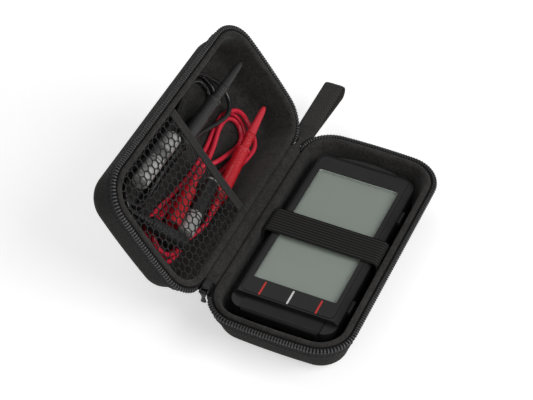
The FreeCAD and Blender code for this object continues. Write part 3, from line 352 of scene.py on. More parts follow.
def shell_patches(into, end_lean):
    """The tray as two closed-round skins: each profile carried round the outline, with a flat floor to its
    middle and end walls that lean in with depth."""
    s = np.linspace(0, RIM_LENGTH, ROUND_COUNT, endpoint=False)
    share = np.array([0.0, 0.35, 0.7])[:, None]
    patches = []
    for k, line in enumerate(shell_profiles()):
        wall = round_rim(s, line[:, 0], line[:, 1])
        depth = (RIM - wall[..., 2]) / (RIM - FLOOR)
        wall = lean_ends(wall, end_lean * (drawn_in(wall[..., 2]) if k == 0 else depth))
        floor = (wall[:1] if k == 0 else wall[-1:]) * joined(share, share, 1.0)
        grid = np.concatenate([floor, wall]) if k == 0 else np.concatenate([wall, floor[::-1]])
        u, v = np.append(s, RIM_LENGTH), lengths(grid[:, 0])
        patches.append(patch(into(grid), columns_closed=True, u=u, v=v, slot=k))
    return patches


# Zip

TAPE_FROM, ZIP_FROM, ZIP_TO = 62.4, 72.4, RIM_LENGTH - 62.2
LEAST_REACH = 0.34


def part_reach(t):
    """A share of the zip's full reach: the least at 0, all of it at 1."""
    return LEAST_REACH + (1 - LEAST_REACH) * t


def zip_reach(s):
    """How far the zip stands out from the wall: a part of its reach by the slider, eased up to all of it
    round the case, and eased down again at the far end."""
    rise = np.clip((s - CORNER_Y) / 12.0, 0.0, 1.0) ** 1.3
    return part_reach(rise) * part_reach(ease((ZIP_TO - s) / 8.0))


def carried_section(into, s, section, slot=0, flared=0):
    """A closed (offset, z) section carried along the zip and drawn back to the wall by the zip's reach, with
    its first few rows flared."""
    base = wall_offset(section[:, 1])[:, None] + 0.04
    offset = base + (section[:, :1] - base) * zip_reach(s)[None]
    share, spread = zip_flare(s, section[:flared, 1])
    offset[:flared] += share * (spread - offset[:flared])
    grid = capped(round_rim(s, offset, section[:, 1]))
    v = lengths(np.concatenate([section, section[:1]]))
    return patch(into(grid), rows_closed=True, u=both_ends(s), v=v, slot=slot)


def zip_flare(s, z):
    """How far the tape spreads at its two ends, below the slider and the wrist loop: a share that is 1 at the
    end and eased to 0, none at the wall or by the teeth, and the spread at 1, to just short of the fold."""
    ends = 2 - ease((s - TAPE_FROM - 5.2) / 3.0) - ease((ZIP_TO - s - 7.0) / 6.0)
    turn = np.clip((np.minimum(s, RIM_LENGTH - s) - CORNER_Y) / CORNER, 0.0, 1.0)
    spread = (HINGE_GAP - 0.3) / np.cos(turn) - CORNER
    return ends[None] * (ease((z - 20.4) / 1.5) * (z < 25.8))[:, None], spread[None]


def zip_tape_patches(into):
    """Woven tape: a wedge section that lies on the wall and flares out to the teeth, carried round the zip's
    stretch of the outline and past its start, where its edge narrows on to the wall and its skirt spreads to
    the fold."""
    outer = softened([(0.1, 20.5), (0.93, 20.75), (1.2, 22.4), (1.6, 24.4), (2.2, 26.2), (2.75, 27.2),
                      (2.6, 27.95)], 0.6, 3)
    rise = np.linspace(27.9, 20.6, 7)
    section = np.concatenate([outer, joined(wall_offset(rise) + 0.04, rise)])
    return [carried_section(into, np.linspace(TAPE_FROM, ZIP_TO, ROUND_COUNT), section, flared=len(outer))]


def zip_core_patch(into):
    """The cord inside the teeth: a round-cornered section that stands on the tape's edge."""
    core = [(0.4, 27.75), (3.05, 27.75), (3.15, 28.4), (2.75, 29.05), (1.9, 29.28), (1.0, 29.15),
            (0.35, 28.6)]
    core = softened(core + core[:1], 0.4, 3)[:-1]
    return carried_section(into, np.linspace(ZIP_FROM, ZIP_TO - 0.4, 190), core, slot=1)


def rim_frames(s):
    """Places, ways along, ways out and ways up on the outline at distances s, as points in space."""
    places, outs = (joined(flat[:, 0], flat[:, 1], 0.0) for flat in rim_at(s))
    ups = np.broadcast_to(Z_WAY, outs.shape)
    return places, np.cross(ups, outs), outs, ups


def zip_teeth_patches(into):
    """Teeth: a wire of oval section bent in an arch over the tape's edge, at each pitch along the zip."""
    s = np.arange(ZIP_FROM + 0.8, ZIP_TO - 0.6, TOOTH_PITCH)
    places, along, outs, ups = rim_frames(s)
    phi = np.radians(np.linspace(-12, 192, 8))
    turn = circle(6)
    reach = 0.33 * np.cos(turn)
    offset = 1.85 + (1.33 + reach[None]) * np.cos(phi)[:, None]
    height = 28.0 + (1.5 + reach[None]) * np.sin(phi)[:, None]
    lengthways = np.broadcast_to(0.52 * np.sin(turn), offset.shape)
    offset = offset[None] * zip_reach(s)[:, None, None]
    points = (places[:, None, None] + offset[..., None] * outs[:, None, None]
              + height[..., None] * ups[:, None, None] + lengthways[..., None] * along[:, None, None])
    closed = np.concatenate([points[:, :1].mean(2, keepdims=True).repeat(6, 2), points,
                             points[:, -1:].mean(2, keepdims=True).repeat(6, 2)], 1)
    return [patch(into(closed), columns_closed=True), zip_core_patch(into)]


def tape_stitch_patches(into):
    """Two rows of stitches that hold the tape to the shell: beads along the outline, low on the tape."""
    rows = []
    for z, offset in ((21.6, 1.12), (24.4, 1.74)):
        places, along, outs, ups = rim_frames(np.arange(ZIP_FROM + 5.5, ZIP_TO - 5, STITCH_PITCH))
        spots = places + outs * offset + ups * z
        spots, tip, out_tip = into(spots), into(spots + along), into(spots + outs)
        rows.append(beads(spots, tip - spots, out_tip - spots, 2.3, 0.42, 0.42))
    return rows


# Fold


def corner_room(y, stand):
    """Room from the fold to a round corner that stands out by a stand: its centre less half its chord."""
    rise = np.clip(y, CORNER_Y, 85.0) - CORNER_Y
    return HINGE_GAP - np.sqrt(np.maximum((CORNER + stand) ** 2 - rise ** 2, 0.0))


def spine_patches():
    """Padded cloth across the fold: a closed section run along the hinge, its inner face from rim to rim and
    its outer face from wall to wall, the lid's half being the base's half mirrored and swung up. Past the
    hinge's far end it narrows to the room between the two halves' corners."""
    inner = softened([(-42.7, 27.6), (-43.4, 27.3), (-44.3, 28.6), (-45.5, 29.2), (-46.5, 29.45)], 0.5)
    outer = softened([(-46.65, 28.6), (-46.25, 26.9), (-45.3, 23.2), (-44.85, 21.0), (-43.86, 20.6)], 1.0)
    fold_in, fold_out = np.array([(-46.93, 29.84)]), np.array([(-47.27, 29.42)])
    y = np.linspace(-SPINE_HALF, SPINE_HALF + FOLD_EXTRA, 120)
    stand = 3.5 * part_reach(ease((y - SPINE_HALF) / 8.0))
    share = np.where(y > SPINE_HALF, np.clip(corner_room(y, stand) / 4.4, 0.25, 1.0), 1.0)
    share = np.where((y > SPINE_HALF) & (y < CORNER_Y), 1 - (y - SPINE_HALF) * 0.25, share)

    def along_hinge(line, into):
        across = HINGE_X + (line[:, :1] - HINGE_X) * share
        height = RIM + (line[:, 1:] - RIM) * share
        return into(joined(across, y, height))

    rim_side = np.concatenate([along_hinge(inner, as_built), along_hinge(fold_in, as_built),
                               along_hinge(inner, in_lid)[::-1]])
    wall_side = np.concatenate([along_hinge(outer, in_lid)[::-1], along_hinge(fold_out, as_built),
                                along_hinge(outer, as_built)])
    ring = capped(np.concatenate([rim_side, wall_side]))
    u = both_ends(y)
    split = len(rim_side)
    v = lengths(np.concatenate([ring[:, 60], ring[:1, 60]]))
    closing = np.concatenate([ring[split - 1:], ring[:1]])
    return [patch(ring[:split], u=u, v=v[:split], slot=0), patch(closing, u=u, v=v[split - 1:], slot=1)]


# Slider and pull


def pad(centre, half, lift, power=3.0, count=28, rows=7):
    """A cushion-edged plate: a superellipse outline drawn in towards its two faces on a quarter round."""
    angle = circle(count)
    x = half[0] * squared_off(np.cos(angle), 2 / power)
    y = half[1] * squared_off(np.sin(angle), 2 / power)
    tilt = np.linspace(-math.pi / 2, math.pi / 2, rows)
    edge = min(lift, 0.4 * min(half))
    draw = (1 - (1 - np.cos(tilt)) * edge / min(half))[:, None]
    grid = joined(centre[0] + draw * x, centre[1] + draw * y, (centre[2] + lift * np.sin(tilt))[:, None])
    low, high = (np.broadcast_to(np.add(centre, (0, 0, end)), (1, count, 3)) for end in (-lift, lift))
    return patch(np.concatenate([low, grid, high]), columns_closed=True)


def bent_rod(line, radius, sides=12):
    """A round rod along a line of points, its ring square to the line at each point."""
    way = unit(np.gradient(line, axis=0))
    side = unit(np.cross(way, [0.3, 0.9, 0.3]))
    angle = circle(sides)
    section = joined(np.cos(angle), np.sin(angle)) * radius
    return patch(capped(swept(line, side, np.cross(way, side), section)), rows_closed=True)


SLIDER_Y, PIN_Y = -66.3, -72.1


def slider_patches():
    """Slider: two cushion-edged plates on a post, side walls, and two arms that hold the pull's pin."""
    patches = [pad((HINGE_X, SLIDER_Y, RIM + lift), (2.75, 4.25), 0.65) for lift in (-2.1, 2.1)]
    patches.append(pad((HINGE_X, SLIDER_Y + 2.2, RIM), (0.8, 1.5), 1.7, 2.0))
    for side in (-1, 1):
        patches.append(pad((HINGE_X + side * 2.3, SLIDER_Y - 1.2, RIM), (0.45, 2.6), 1.9))
        x = HINGE_X + side * 2.35
        arm = [(x, SLIDER_Y - 2.0, RIM + 1.2), (x, PIN_Y + 0.6, RIM + 0.9), (x, PIN_Y - 0.3, RIM)]
        patches.append(bent_rod(softened(arm, 1.0), 0.55))
    pin = np.linspace((HINGE_X - 2.75, PIN_Y, RIM), (HINGE_X + 2.75, PIN_Y, RIM), 5)
    patches.append(bent_rod(pin, 0.66))
    return patches


def pull_patches():
    """Pull: a loop round the pin that runs into a flat tab with a rounded, thickened end."""
    drop = np.array([-0.5, -1.1, -1.6, -2.2, -3.0, -3.9, -4.8, -5.6, -6.3, -6.7, -6.95, -7.1])[:, None]
    half = np.array([1.72, 1.75, 1.5, 1.25, 1.2, 1.3, 1.5, 1.75, 1.8, 1.65, 1.25, 0.7])[:, None]
    thick = np.array([0.62, 0.64, 0.62, 0.55, 0.5, 0.5, 0.52, 0.6, 0.64, 0.62, 0.5, 0.3])[:, None]
    angle = circle(20)
    wide, deep = squared_off(np.cos(angle), 0.6), squared_off(np.sin(angle), 0.8)
    tab = joined(HINGE_X + half * wide, PIN_Y + thick * deep, RIM - 0.9 + drop)
    tab = capped(tab.swapaxes(0, 1)).swapaxes(0, 1)
    ring, around = circle(24)[:, None], circle(10)
    reach = 1.14 + 0.32 * np.cos(around)
    eye = joined(HINGE_X + 1.7 * np.sin(around), PIN_Y + reach * np.cos(ring), RIM + reach * np.sin(ring))
    return [patch(tab, columns_closed=True), patch(eye, rows_closed=True, columns_closed=True)]


# Straps and net

STRAP_WIDE, STRAP_THICK, STRAP_RIBS, WEB_THICK = 19.9, 1.25, 9, 1.5
STRAP_RIB = (STRAP_WIDE - STRAP_THICK) / STRAP_RIBS


def strap_patches():
    """Ribbed elastic: a band section with lengthwise ribs along a path up one wall, over the meter and down
    the other."""
    leg, top, bend = 36.85, 29.85, 2.85
    turn = np.radians(np.linspace(180, 90, 9))
    rise = np.linspace(16.0, top - bend, 6)[:-1]
    left = np.concatenate([joined(-leg, rise),
                           joined(bend - leg + bend * np.cos(turn), top - bend + bend * np.sin(turn))])
    over = np.linspace(bend - leg, leg - bend, 24)[1:-1]
    line = np.concatenate([left, joined(over, top), (left * [-1, 1])[::-1]])
    way = unit(np.gradient(line, axis=0))
    up = joined(-way[:, 1], 0.0, way[:, 0])
    section = band_section(STRAP_WIDE, STRAP_THICK, ribs=STRAP_RIBS, rib_height=0.5)
    run = lengths(line)
    v = np.append(section[:, 0] - section[0, 0], 0.0)
    grid = capped(swept(joined(line[:, 0], 0.0, line[:, 1]), -Y_WAY, up, section))
    return [patch(grid, rows_closed=True, u=both_ends(run), v=v)], run[-1]


def wrist_patches():
    """Wrist loop: a webbing section along a folded line, out under, round the end and back over, its width
    opening to the full loop from the sewn tail, which fills the room between the two halves' corners."""
    root_y, low_z, high_z = 81.5, 27.15, 28.73
    end_y, end_z, end_r = 127.3, 25.55, 4.4
    turn = np.radians(np.linspace(-86, 88, 15))
    low = np.linspace((63.8, low_z), (root_y, low_z), 26)
    down = np.linspace((root_y, low_z), (end_y, end_z - end_r), 14)[1:-1]
    tip = joined(end_y + end_r * np.cos(turn), end_z + end_r * np.sin(turn))
    back = np.linspace((end_y, end_z + end_r), (root_y, high_z), 14)[1:-1]
    line = np.concatenate([low, down, tip, back, (low + [0.0, high_z - low_z])[::-1]])
    y = line[:, 0]
    room = corner_room(y, 3.95)
    left, right = HINGE_X - np.minimum(room, 7.85), HINGE_X + np.minimum(room, 5.45)
    way = unit(np.gradient(line, axis=0))
    section = band_section(2.0, 1.0, count=11)
    across = section[:, :1] * (right - left) / 2 + (left + right) / 2
    above = section[:, 1:] * WEB_THICK
    grid = capped(joined(across, y + above * way[:, 1], line[:, 1] - above * way[:, 0]))
    run = lengths(line)
    v = np.linspace(0, 40, len(section) + 1)
    return [patch(grid, rows_closed=True, u=both_ends(run), v=v)], run[-1]


def wrist_tack_patches():
    """Bar tack across the loop's root: three close rows of stitches on its upper face."""
    x = np.linspace(-53.4, -42.9, 9)
    rows = []
    for y in (83.2, 84.3, 85.4):
        spots = joined(x, y, 29.5 + (y - 81.5) * 0.0266)
        forward, up = (np.broadcast_to(way, spots.shape) for way in (X_WAY, Z_WAY))
        rows.append(beads(spots, forward, up, 1.15, 0.55, 0.4))
    return rows


NET_PITCH, NET_HOLE, NET_EDGE_Y, NET_INSET = 5.1, 4.5, -8.0, 4.6


def held_in(x, y, inset):
    """Points drawn back inside the lid's inner outline at the net's depth, straight or round a corner."""
    half, end, r = HALF_WIDTH - inset, HALF_LENGTH - inset, CORNER - inset
    x = np.clip(x, -half, half)
    y = np.minimum(np.maximum(y, -end + x ** 2 / (2 * BOW_R)), NET_EDGE_Y)
    dx, dy = np.abs(x) - CORNER_X, -CORNER_Y - y
    far = np.hypot(dx, dy)
    out = (dx > 0) & (dy > 0) & (far > r)
    pull = np.where(out, r / np.maximum(far, 1e-6), 1.0)
    x = np.where(out, np.sign(x) * (CORNER_X + dx * pull), x)
    y = np.where(out, -CORNER_Y - dy * pull, y)
    return x, y


def net_patches():
    """Hexagon net: each mesh is a ring from its hexagon edge to its round-cornered hole, meshes meet edge to
    edge, and the border's are drawn in to the lid's wall. The net hangs a little between its edges and the
    spare cell that it lies on."""
    step = NET_PITCH * math.sqrt(3) / 2
    row, column = (g.ravel() for g in np.meshgrid(np.arange(-10, 11), np.arange(-18, 0), indexing="ij"))
    cx, cy = row * step, (column + 0.5 * (row % 2)) * NET_PITCH
    turn = circle(24)
    from_side = np.mod(turn, math.pi / 3) - math.pi / 6
    hexagon = 0.5 / np.cos(from_side)
    hole = np.minimum(hexagon, 0.538)
    radius = np.stack([NET_PITCH * hexagon, NET_HOLE * hole])
    x = cx[:, None, None] + radius[None] * np.cos(turn)
    y = cy[:, None, None] + radius[None] * np.sin(turn)
    hx, hy = held_in(x, y, NET_INSET)
    moved = np.hypot(hx - x, hy - y)
    kept = moved[:, 1].min(1) < 0.7
    x, y = hx[kept], hy[kept]
    edge = np.minimum.reduce([HALF_WIDTH - NET_INSET - np.abs(x), HALF_LENGTH - NET_INSET + y,
                              NET_EDGE_Y - y])
    over_cell = np.exp(-((x - 24.6) / 9.0) ** 2) * ease((y + 63) / 10)
    sag = 1.5 * ease(edge / 26.0) * (1 - over_cell) + 0.25 * np.sin(x * 0.31 + y * 0.17) * ease(edge / 8.0)
    z = RIM - 2.15 - np.clip(sag, -0.35, 1.6) * 0.8
    return [patch(in_lid(joined(x, y, z)), columns_closed=True)]


def binding_patches():
    """Webbing folded over the net's free edge: a band section across the lid, bowed a little on its way."""
    half = 38.2
    x = np.linspace(-half, half, 40)
    path = joined(x, -5.5 - 0.2 * np.cos(x / half * math.pi / 2), 27.8)
    section = band_section(5.8, 1.6, ribs=4, rib_height=0.18)
    v = lengths(np.concatenate([section, section[:1]]))
    grid = capped(swept(path, -Y_WAY, Z_WAY, section))
    return [patch(in_lid(grid), rows_closed=True, u=both_ends(x), v=v)]


# Leads and cells


def at_lid(across, along, depth):
    """Tray-frame point: across from the fold, along the hinge and down from the rim plane."""
    return np.array([HINGE_X + across, along, RIM - depth])


PROBES = {"red": (at_lid(30.8, 69.6, 9.0), at_lid(21.0, 14.0, 13.5)),
          "black": (at_lid(64.2, 72.4, 6.4), at_lid(60.0, -4.2, 15.0))}
PLUGS = {"red": (at_lid(34.9, -47.0, 14.7), at_lid(38.3, -19.7, 14.7)),
         "black": (at_lid(20.5, -48.4, 14.6), at_lid(47.9, -60.0, 14.6))}
CELLS = {"spare_cell_1": (at_lid(71.2, -9.8, 8.1), at_lid(72.1, -54.2, 8.1)),
         "spare_cell_2": (at_lid(28.4, 0.6, 14.6), at_lid(24.2, -43.6, 14.6))}
HANKS = {"red": {"centre": 29.2, "half": 14.6, "top": 48.0, "bottom": -50.0, "waist": 28.5,
                 "waist_half": 9.8, "tuck": 0.4},
         "black": {"centre": 64.7, "half": 13.2, "top": 43.5, "bottom": -48.0, "waist": 64.1,
                   "waist_half": 10.6, "tuck": 5.0}}
CELL_LENGTH = 44.5
STRAND_PITCH, WAIST_Y, FOLD_WIDTH, CORD_WIDTH = 3.7, 2.0, 18.3, 3.0
LAYER_1, LAYER_2 = 25.0, 21.4
UP, DOWN, LEFT, RIGHT = Y_WAY, -Y_WAY, -X_WAY, X_WAY
BOOT_END, PLUG_BOOT_END = 88.0, 40.0
HANDLE_SHARE, SHORT_CHORD = math.tan(math.pi / 8) / math.sqrt(2), 18.0
LEANING_LOOP = {"red": [(at_lid(32.6, 61.6, 20.6), LEFT), (at_lid(15.8, 44.0, 15.6), DOWN)],
                "black": [(at_lid(57.0, 59.0, 19.2), LEFT), (at_lid(44.5, 47.0, 18.0), DOWN)]}
PLUG_APPROACH = {"red": [(at_lid(33.4, 13.0, 16.6), np.array([0.42, -1.0, 0.12]))],
                 "black": [(at_lid(62.3, 2.0, LAYER_1), np.array([0.06, -1.0, 0.0])),
                           (at_lid(64.7, -22.0, 21.0), np.array([0.14, -1.0, 0.2])),
                           (at_lid(75.0, -52.0, 15.8), DOWN)]}


def heading(pair):
    return unit(pair[1] - pair[0])


def along_axis(pair, distance):
    return pair[0] + heading(pair) * distance


def strand(hank, side, ring, layer_top, layer_bottom, top_shift=0.0):
    """A strand's stations from top to bottom: run end, drawn-in waist and run end."""
    out = side * (hank["half"] - ring * STRAND_PITCH)
    drawn = side * (hank["waist_half"] - ring * STRAND_PITCH)
    return [at_lid(hank["centre"] + out + top_shift, hank["top"], layer_top),
            at_lid(hank["waist"] + drawn, WAIST_Y, layer_top),
            at_lid(hank["centre"] + out, hank["bottom"], layer_bottom)]


def crown(hank, a, b, end, layer):
    """The station at the middle of a half turn between two strands."""
    sign = 1 if end == "top" else -1
    place = at_lid((a + b) / 2, hank[end] + sign * abs(a - b) / 2, layer)
    return place, RIGHT if b > a else LEFT


def lead_stations(colour):
    """A lead's stations from its probe to its plug, each a point and a direction: loops in two layers."""
    hank, probe, plug = HANKS[colour], PROBES[colour], PLUGS[colour]
    outer, inner, centre = hank["half"], hank["half"] - STRAND_PITCH, hank["centre"]
    l0, l1, r0, r1 = centre + outer, centre + inner, centre - outer, centre - inner
    middle = l1 - FOLD_WIDTH

    def up(points):
        return [(p, UP) for p in points[::-1]]

    def down(points):
        return [(p, DOWN) for p in points]

    return [(along_axis(probe, BOOT_END), heading(probe)),
            (along_axis(probe, BOOT_END + CORD_WIDTH), heading(probe)),
            (at_lid(r1, hank["bottom"], LAYER_2), DOWN), crown(hank, r1, l1, "bottom", LAYER_2),
            *up(strand(hank, 1, 1, LAYER_2, LAYER_2, STRAND_PITCH)), *LEANING_LOOP[colour],
            *down(strand(hank, -1, 0, LAYER_2, LAYER_1))[1:], crown(hank, r0, l0, "bottom", LAYER_1),
            *up(strand(hank, 1, 0, LAYER_1, LAYER_1)), crown(hank, l0, r1 - hank["tuck"], "top", LAYER_1),
            *down(strand(hank, -1, 1, LAYER_1, LAYER_1, -hank["tuck"])),
            crown(hank, r1, l1, "bottom", LAYER_1),
            *up(strand(hank, 1, 1, LAYER_1, LAYER_1)), crown(hank, l1, middle, "top", LAYER_1),
            (at_lid(middle, hank["top"], LAYER_1), DOWN), *PLUG_APPROACH[colour],
            (along_axis(plug, PLUG_BOOT_END + CORD_WIDTH), -heading(plug)),
            (along_axis(plug, PLUG_BOOT_END), -heading(plug))]


def lead_route(colour):
    """A lead's control points: its two ends, and between each two stations a handle ahead of the first and
    one behind the second, a share of the station's shorter chord away."""
    stations = lead_stations(colour)
    place = np.array([station[0] for station in stations])
    way = unit(np.array([station[1] for station in stations]))
    chord = np.linalg.norm(np.diff(place, axis=0), axis=1)
    chord_before = np.maximum(np.insert(chord[:-1], 0, chord[0]), SHORT_CHORD)
    chord_after = np.maximum(np.append(chord[1:], chord[-1]), SHORT_CHORD)
    ahead = place[:-1] + way[:-1] * HANDLE_SHARE * np.minimum(chord, chord_before)[:, None]
    behind = place[1:] - way[1:] * HANDLE_SHARE * np.minimum(chord, chord_after)[:, None]
    between = np.stack([ahead, behind], 1).reshape(-1, 3)
    return np.concatenate([place[:1], between, place[-1:]])


def lead_cord(colour, finish):
    """The lead as one smooth curve with a round section, resting in the lid."""
    route = in_lid(lead_route(colour)) * MM
    data = bpy.data.curves.new(colour + "_cord", "CURVE")
    data.dimensions = "3D"
    data.bevel_depth = CORD_WIDTH / 2 * MM
    data.bevel_resolution = 4
    data.resolution_u = 10
    data.use_fill_caps = True
    spline = data.splines.new("NURBS")
    spline.points.add(len(route) - 1)
    spline.points.foreach_set("co", np.concatenate([route, np.ones((len(route), 1))], 1).ravel())
    spline.order_u = 3
    spline.use_endpoint_u = True
    data.materials.append(finish)
    obj = bpy.data.objects.new(colour + "_cord", data)
    bpy.context.scene.collection.objects.link(obj)
    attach(obj, "lid")
    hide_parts(colour + "_lead_cord")
    return obj, route[0]


def grooves(start, end, count, radius, depth):
    """Profile points of shallow round-bottomed grooves, evenly spaced along a handle."""
    s = np.linspace(start, end, count * 8 + 1)
    dip = depth * np.maximum(np.cos((s - start) / (end - start) * 2 * math.pi * count + math.pi), 0.0) ** 0.7
    return list(zip(s, radius - dip))


def cap_profile():
    return softened([(0.0, 0.0), (0.05, 0.75), (0.8, 1.35), (3.2, 1.9), (14.0, 2.5), (21.0, 2.86),
                     (21.2, 2.98), (22.95, 3.0), (22.95, 2.3), (16.0, 2.3)], 0.5)


def probe_profile():
    """Nose, grooved barrel, finger guard, ribbed grip and plain handle, from the tip's end backwards."""
    line = [(15.5, 0.0), (15.5, 2.2), (23.15, 2.2), (23.2, 2.95), (23.8, 3.2)]
    line += grooves(26.0, 33.0, 3, 3.2, 0.3)
    line += [(34.9, 3.2), (35.3, 4.7), (36.0, 5.25), (37.2, 5.25), (38.0, 4.3)]
    line += grooves(39.6, 51.0, 6, 4.45, 0.4)
    line += [(54.0, 4.45), (74.0, 4.5), (75.8, 4.4), (76.9, 3.6), (77.0, 0.0)]
    return softened(line, 0.35, 3)


def boot_profile(start, end):
    """Strain relief: a taper from the body down to the cord, with four raised ribs."""
    s = np.linspace(start, end, 49)
    t = (s - start) / (end - start)
    r = 3.15 - 1.2 * t - 0.38 * (np.cos(t * 8 * math.pi - 0.6) < -0.1)
    return np.concatenate([[(start, 0.0)], joined(s, r), [(end, 0.0)]])


def plug_profile():
    """Shrouded plug: solid grip with grooves, then an open sleeve, round its lip and in to the pin's root."""
    line = [(30.0, 0.0), (30.0, 3.5), (28.9, 4.55)]
    line += grooves(28.0, 19.0, 5, 4.55, 0.45)
    line += [(17.8, 4.55), (0.5, 4.58), (0.0, 4.2), (0.0, 3.5), (0.6, 3.4), (16.9, 3.4), (16.9, 0.0)]
    return softened(line, 0.3, 3)


def pin_profile():
    return softened([(1.5, 0.0), (1.5, 1.1), (2.6, 1.75), (6.0, 1.93), (12.0, 1.93), (16.0, 1.8), (22.9, 1.8),
                     (22.9, 0.0)], 0.3)


def tip_profile():
    return [(5.0, 0.0), (5.1, 0.2), (8.0, 0.98), (29.9, 0.98), (29.9, 0.0)]


def cell_profile():
    """Dry cell: raised terminal, crimped shoulders and a sleeve whose ends turn in."""
    return softened([(0.0, 0.0), (0.0, 1.85), (1.0, 1.9), (1.05, 3.4), (0.95, 4.4), (1.5, 5.2), (2.6, 5.22),
                     (42.6, 5.22), (43.9, 5.2), (44.4, 4.6), (44.2, 3.8), (44.45, 3.2), (44.45, 0.0)], 0.35)


def lathed(name, profile, pair, finish, body, replaces):
    """A lathe piece laid on an axis in the lid."""
    start, tip = in_lid(pair[0]), in_lid(pair[1])
    return piece(name, [turned(profile, start, tip - start)], [finish], body, [replaces], sharp=50)


# Patterns


def new_pattern(name):
    """A node group that reads a place and a size, and puts out a shade and a height."""
    tree = bpy.data.node_groups.new(name, "ShaderNodeTree")
    for label, kind in (("Vector", "NodeSocketVector"), ("Size", "NodeSocketFloat")):
        tree.interface.new_socket(name=label, in_out="INPUT", socket_type=kind)
    for label in ("Shade", "Height"):
        tree.interface.new_socket(name=label, in_out="OUTPUT", socket_type="NodeSocketFloat")
    given, put = tree.nodes.new("NodeGroupInput"), tree.nodes.new("NodeGroupOutput")
    scaled = tree.nodes.new("ShaderNodeVectorMath")
    scaled.operation = "SCALE"
    put_in(tree, scaled.inputs[0], given.outputs["Vector"])
    put_in(tree, scaled.inputs["Scale"], sums(tree, "DIVIDE", 1.0, given.outputs["Size"]))
    return tree, scaled.outputs[0], put


def put_in(tree, socket, value):
    """Sets an input to a number or a colour, or links another node's output to it."""
    if isinstance(value, bpy.types.NodeSocket):
        tree.links.new(value, socket)
    else:
        socket.default_value = value


def wired(tree, kind, **values):
    """One shader node, with its named inputs set or linked."""
    node = tree.nodes.new("ShaderNode" + kind)
    for label, value in values.items():
        put_in(tree, node.inputs[label.replace("_", " ")], value)
    return node


def sums(tree, operation, *values):
    """One arithmetic node; numbers are set on it and sockets are linked to it."""
    node = tree.nodes.new("ShaderNodeMath")
    node.operation = operation
    for socket, value in zip(node.inputs, values):
        put_in(tree, socket, value)
    return node.outputs[0]


def mixture(tree, *shares):
    """Sockets added up in turn, each times its share."""
    total = sums(tree, "MULTIPLY", *shares[0])
    for share in shares[1:]:
        total = sums(tree, "ADD", total, sums(tree, "MULTIPLY", *share))
    return total


def put_out(tree, put, shade, height):
    tree.links.new(shade, put.inputs["Shade"])
    tree.links.new(height, put.inputs["Height"])
    return tree


def axes(tree, place):
    return wired(tree, "SeparateXYZ", Vector=place).outputs


def noise(tree, place, scale, detail=2.0, roughness=0.5):
    node = wired(tree, "TexNoise", Scale=scale, Detail=detail, Roughness=roughness, Vector=place)
    return node.outputs["Fac"]


def weave_sheen_pattern():
    """Plain weave: squares of one thread each, in turn lengthways and crossways, rounded over the width; the
    squares' contrast is partly painted sheen and each thread's crown is painted lighter than its sides.
    """
    tree, place, put = new_pattern("plain_weave_painted_sheen")
    x, y = axes(tree, place)[:2]
    turn = sums(tree, "MODULO", sums(tree, "ADD", sums(tree, "FLOOR", x), sums(tree, "FLOOR", y)), 2.0)
    turn = sums(tree, "ABSOLUTE", turn)
    over_x, over_y = (sums(tree, "SINE", sums(tree, "MULTIPLY", sums(tree, "FRACT", way), math.pi))
                      for way in (x, y))
    thread = mixture(tree, (turn, over_x), (sums(tree, "SUBTRACT", 1.0, turn), over_y))
    fibre, broad = noise(tree, place, 2.6, 3.0, 0.6), noise(tree, place, 0.06, 2.0)
    # painted light: the turn's checker is a painted sheen of one way of thread against the other, and the
    # thread's rounded crown is painted lighter than its sides
    shade = mixture(tree, (thread, 0.4), (turn, 0.24), (fibre, 0.16), (broad, 0.12))
    return put_out(tree, put, shade, mixture(tree, (thread, 1.0), (fibre, 0.4)))


def rib_groove_shade_pattern():
    """Ribbed elastic: painted shade, dark at each groove step across the map and light on the rounded ridge
    between, with fine fibres over it.
    """
    tree, place, put = new_pattern("ribs")
    across = axes(tree, place)[1]
    # painted shade: the colour darkens into each rib's groove and lightens on its ridge, as light would shade
    # them
    ridge_and_groove_shade = sums(tree, "ABSOLUTE", sums(tree, "SINE", sums(tree, "MULTIPLY", across, math.pi)))
    fibre = noise(tree, place, 3.0, 3.0, 0.6)
    return put_out(tree, put, mixture(tree, (ridge_and_groove_shade, 0.55), (fibre, 0.25)), fibre)


def nap_pattern():
    """Brushed cloth: fine and middling clouds of noise for the nap, and broad ones where it is stroked."""
    tree, place, put = new_pattern("brushed_nap")
    fine, middle = noise(tree, place, 1.0, 4.0, 0.7), noise(tree, place, 0.22, 3.0, 0.6)
    broad = noise(tree, place, 0.03, 2.0)
    shade = sums(tree, "SUBTRACT", mixture(tree, (fine, 1.5), (middle, 0.7), (broad, 0.4)), 0.8)
    return put_out(tree, put, shade, mixture(tree, (fine, 1.0), (middle, 0.8)))


def grain_pattern():
    """Moulded skin: fine even pits, with a broad faint mottle where it has been handled."""
    tree, place, put = new_pattern("moulded_grain")
    pits, broad = noise(tree, place, 1.0, 2.0, 0.5), noise(tree, place, 0.02, 3.0, 0.6)
    return put_out(tree, put, mixture(tree, (pits, 0.35), (broad, 0.65)), pits)


def drawn_pattern():
    """Drawn or rolled metal: noise stretched along one way, so that it reads as fine lines."""
    tree, place, put = new_pattern("drawn_lines")
    stretch = wired(tree, "Mapping", Scale=(1.0, 1.0, 0.06), Vector=place)
    lines, broad = noise(tree, stretch.outputs[0], 1.0, 3.0, 0.6), noise(tree, place, 0.04)
    return put_out(tree, put, mixture(tree, (lines, 0.6), (broad, 0.4)), lines)


PAINTED_SHEEN_WEAVE, RIBS, NAP = weave_sheen_pattern(), rib_groove_shade_pattern(), nap_pattern()
GRAIN, DRAWN = grain_pattern(), drawn_pattern()


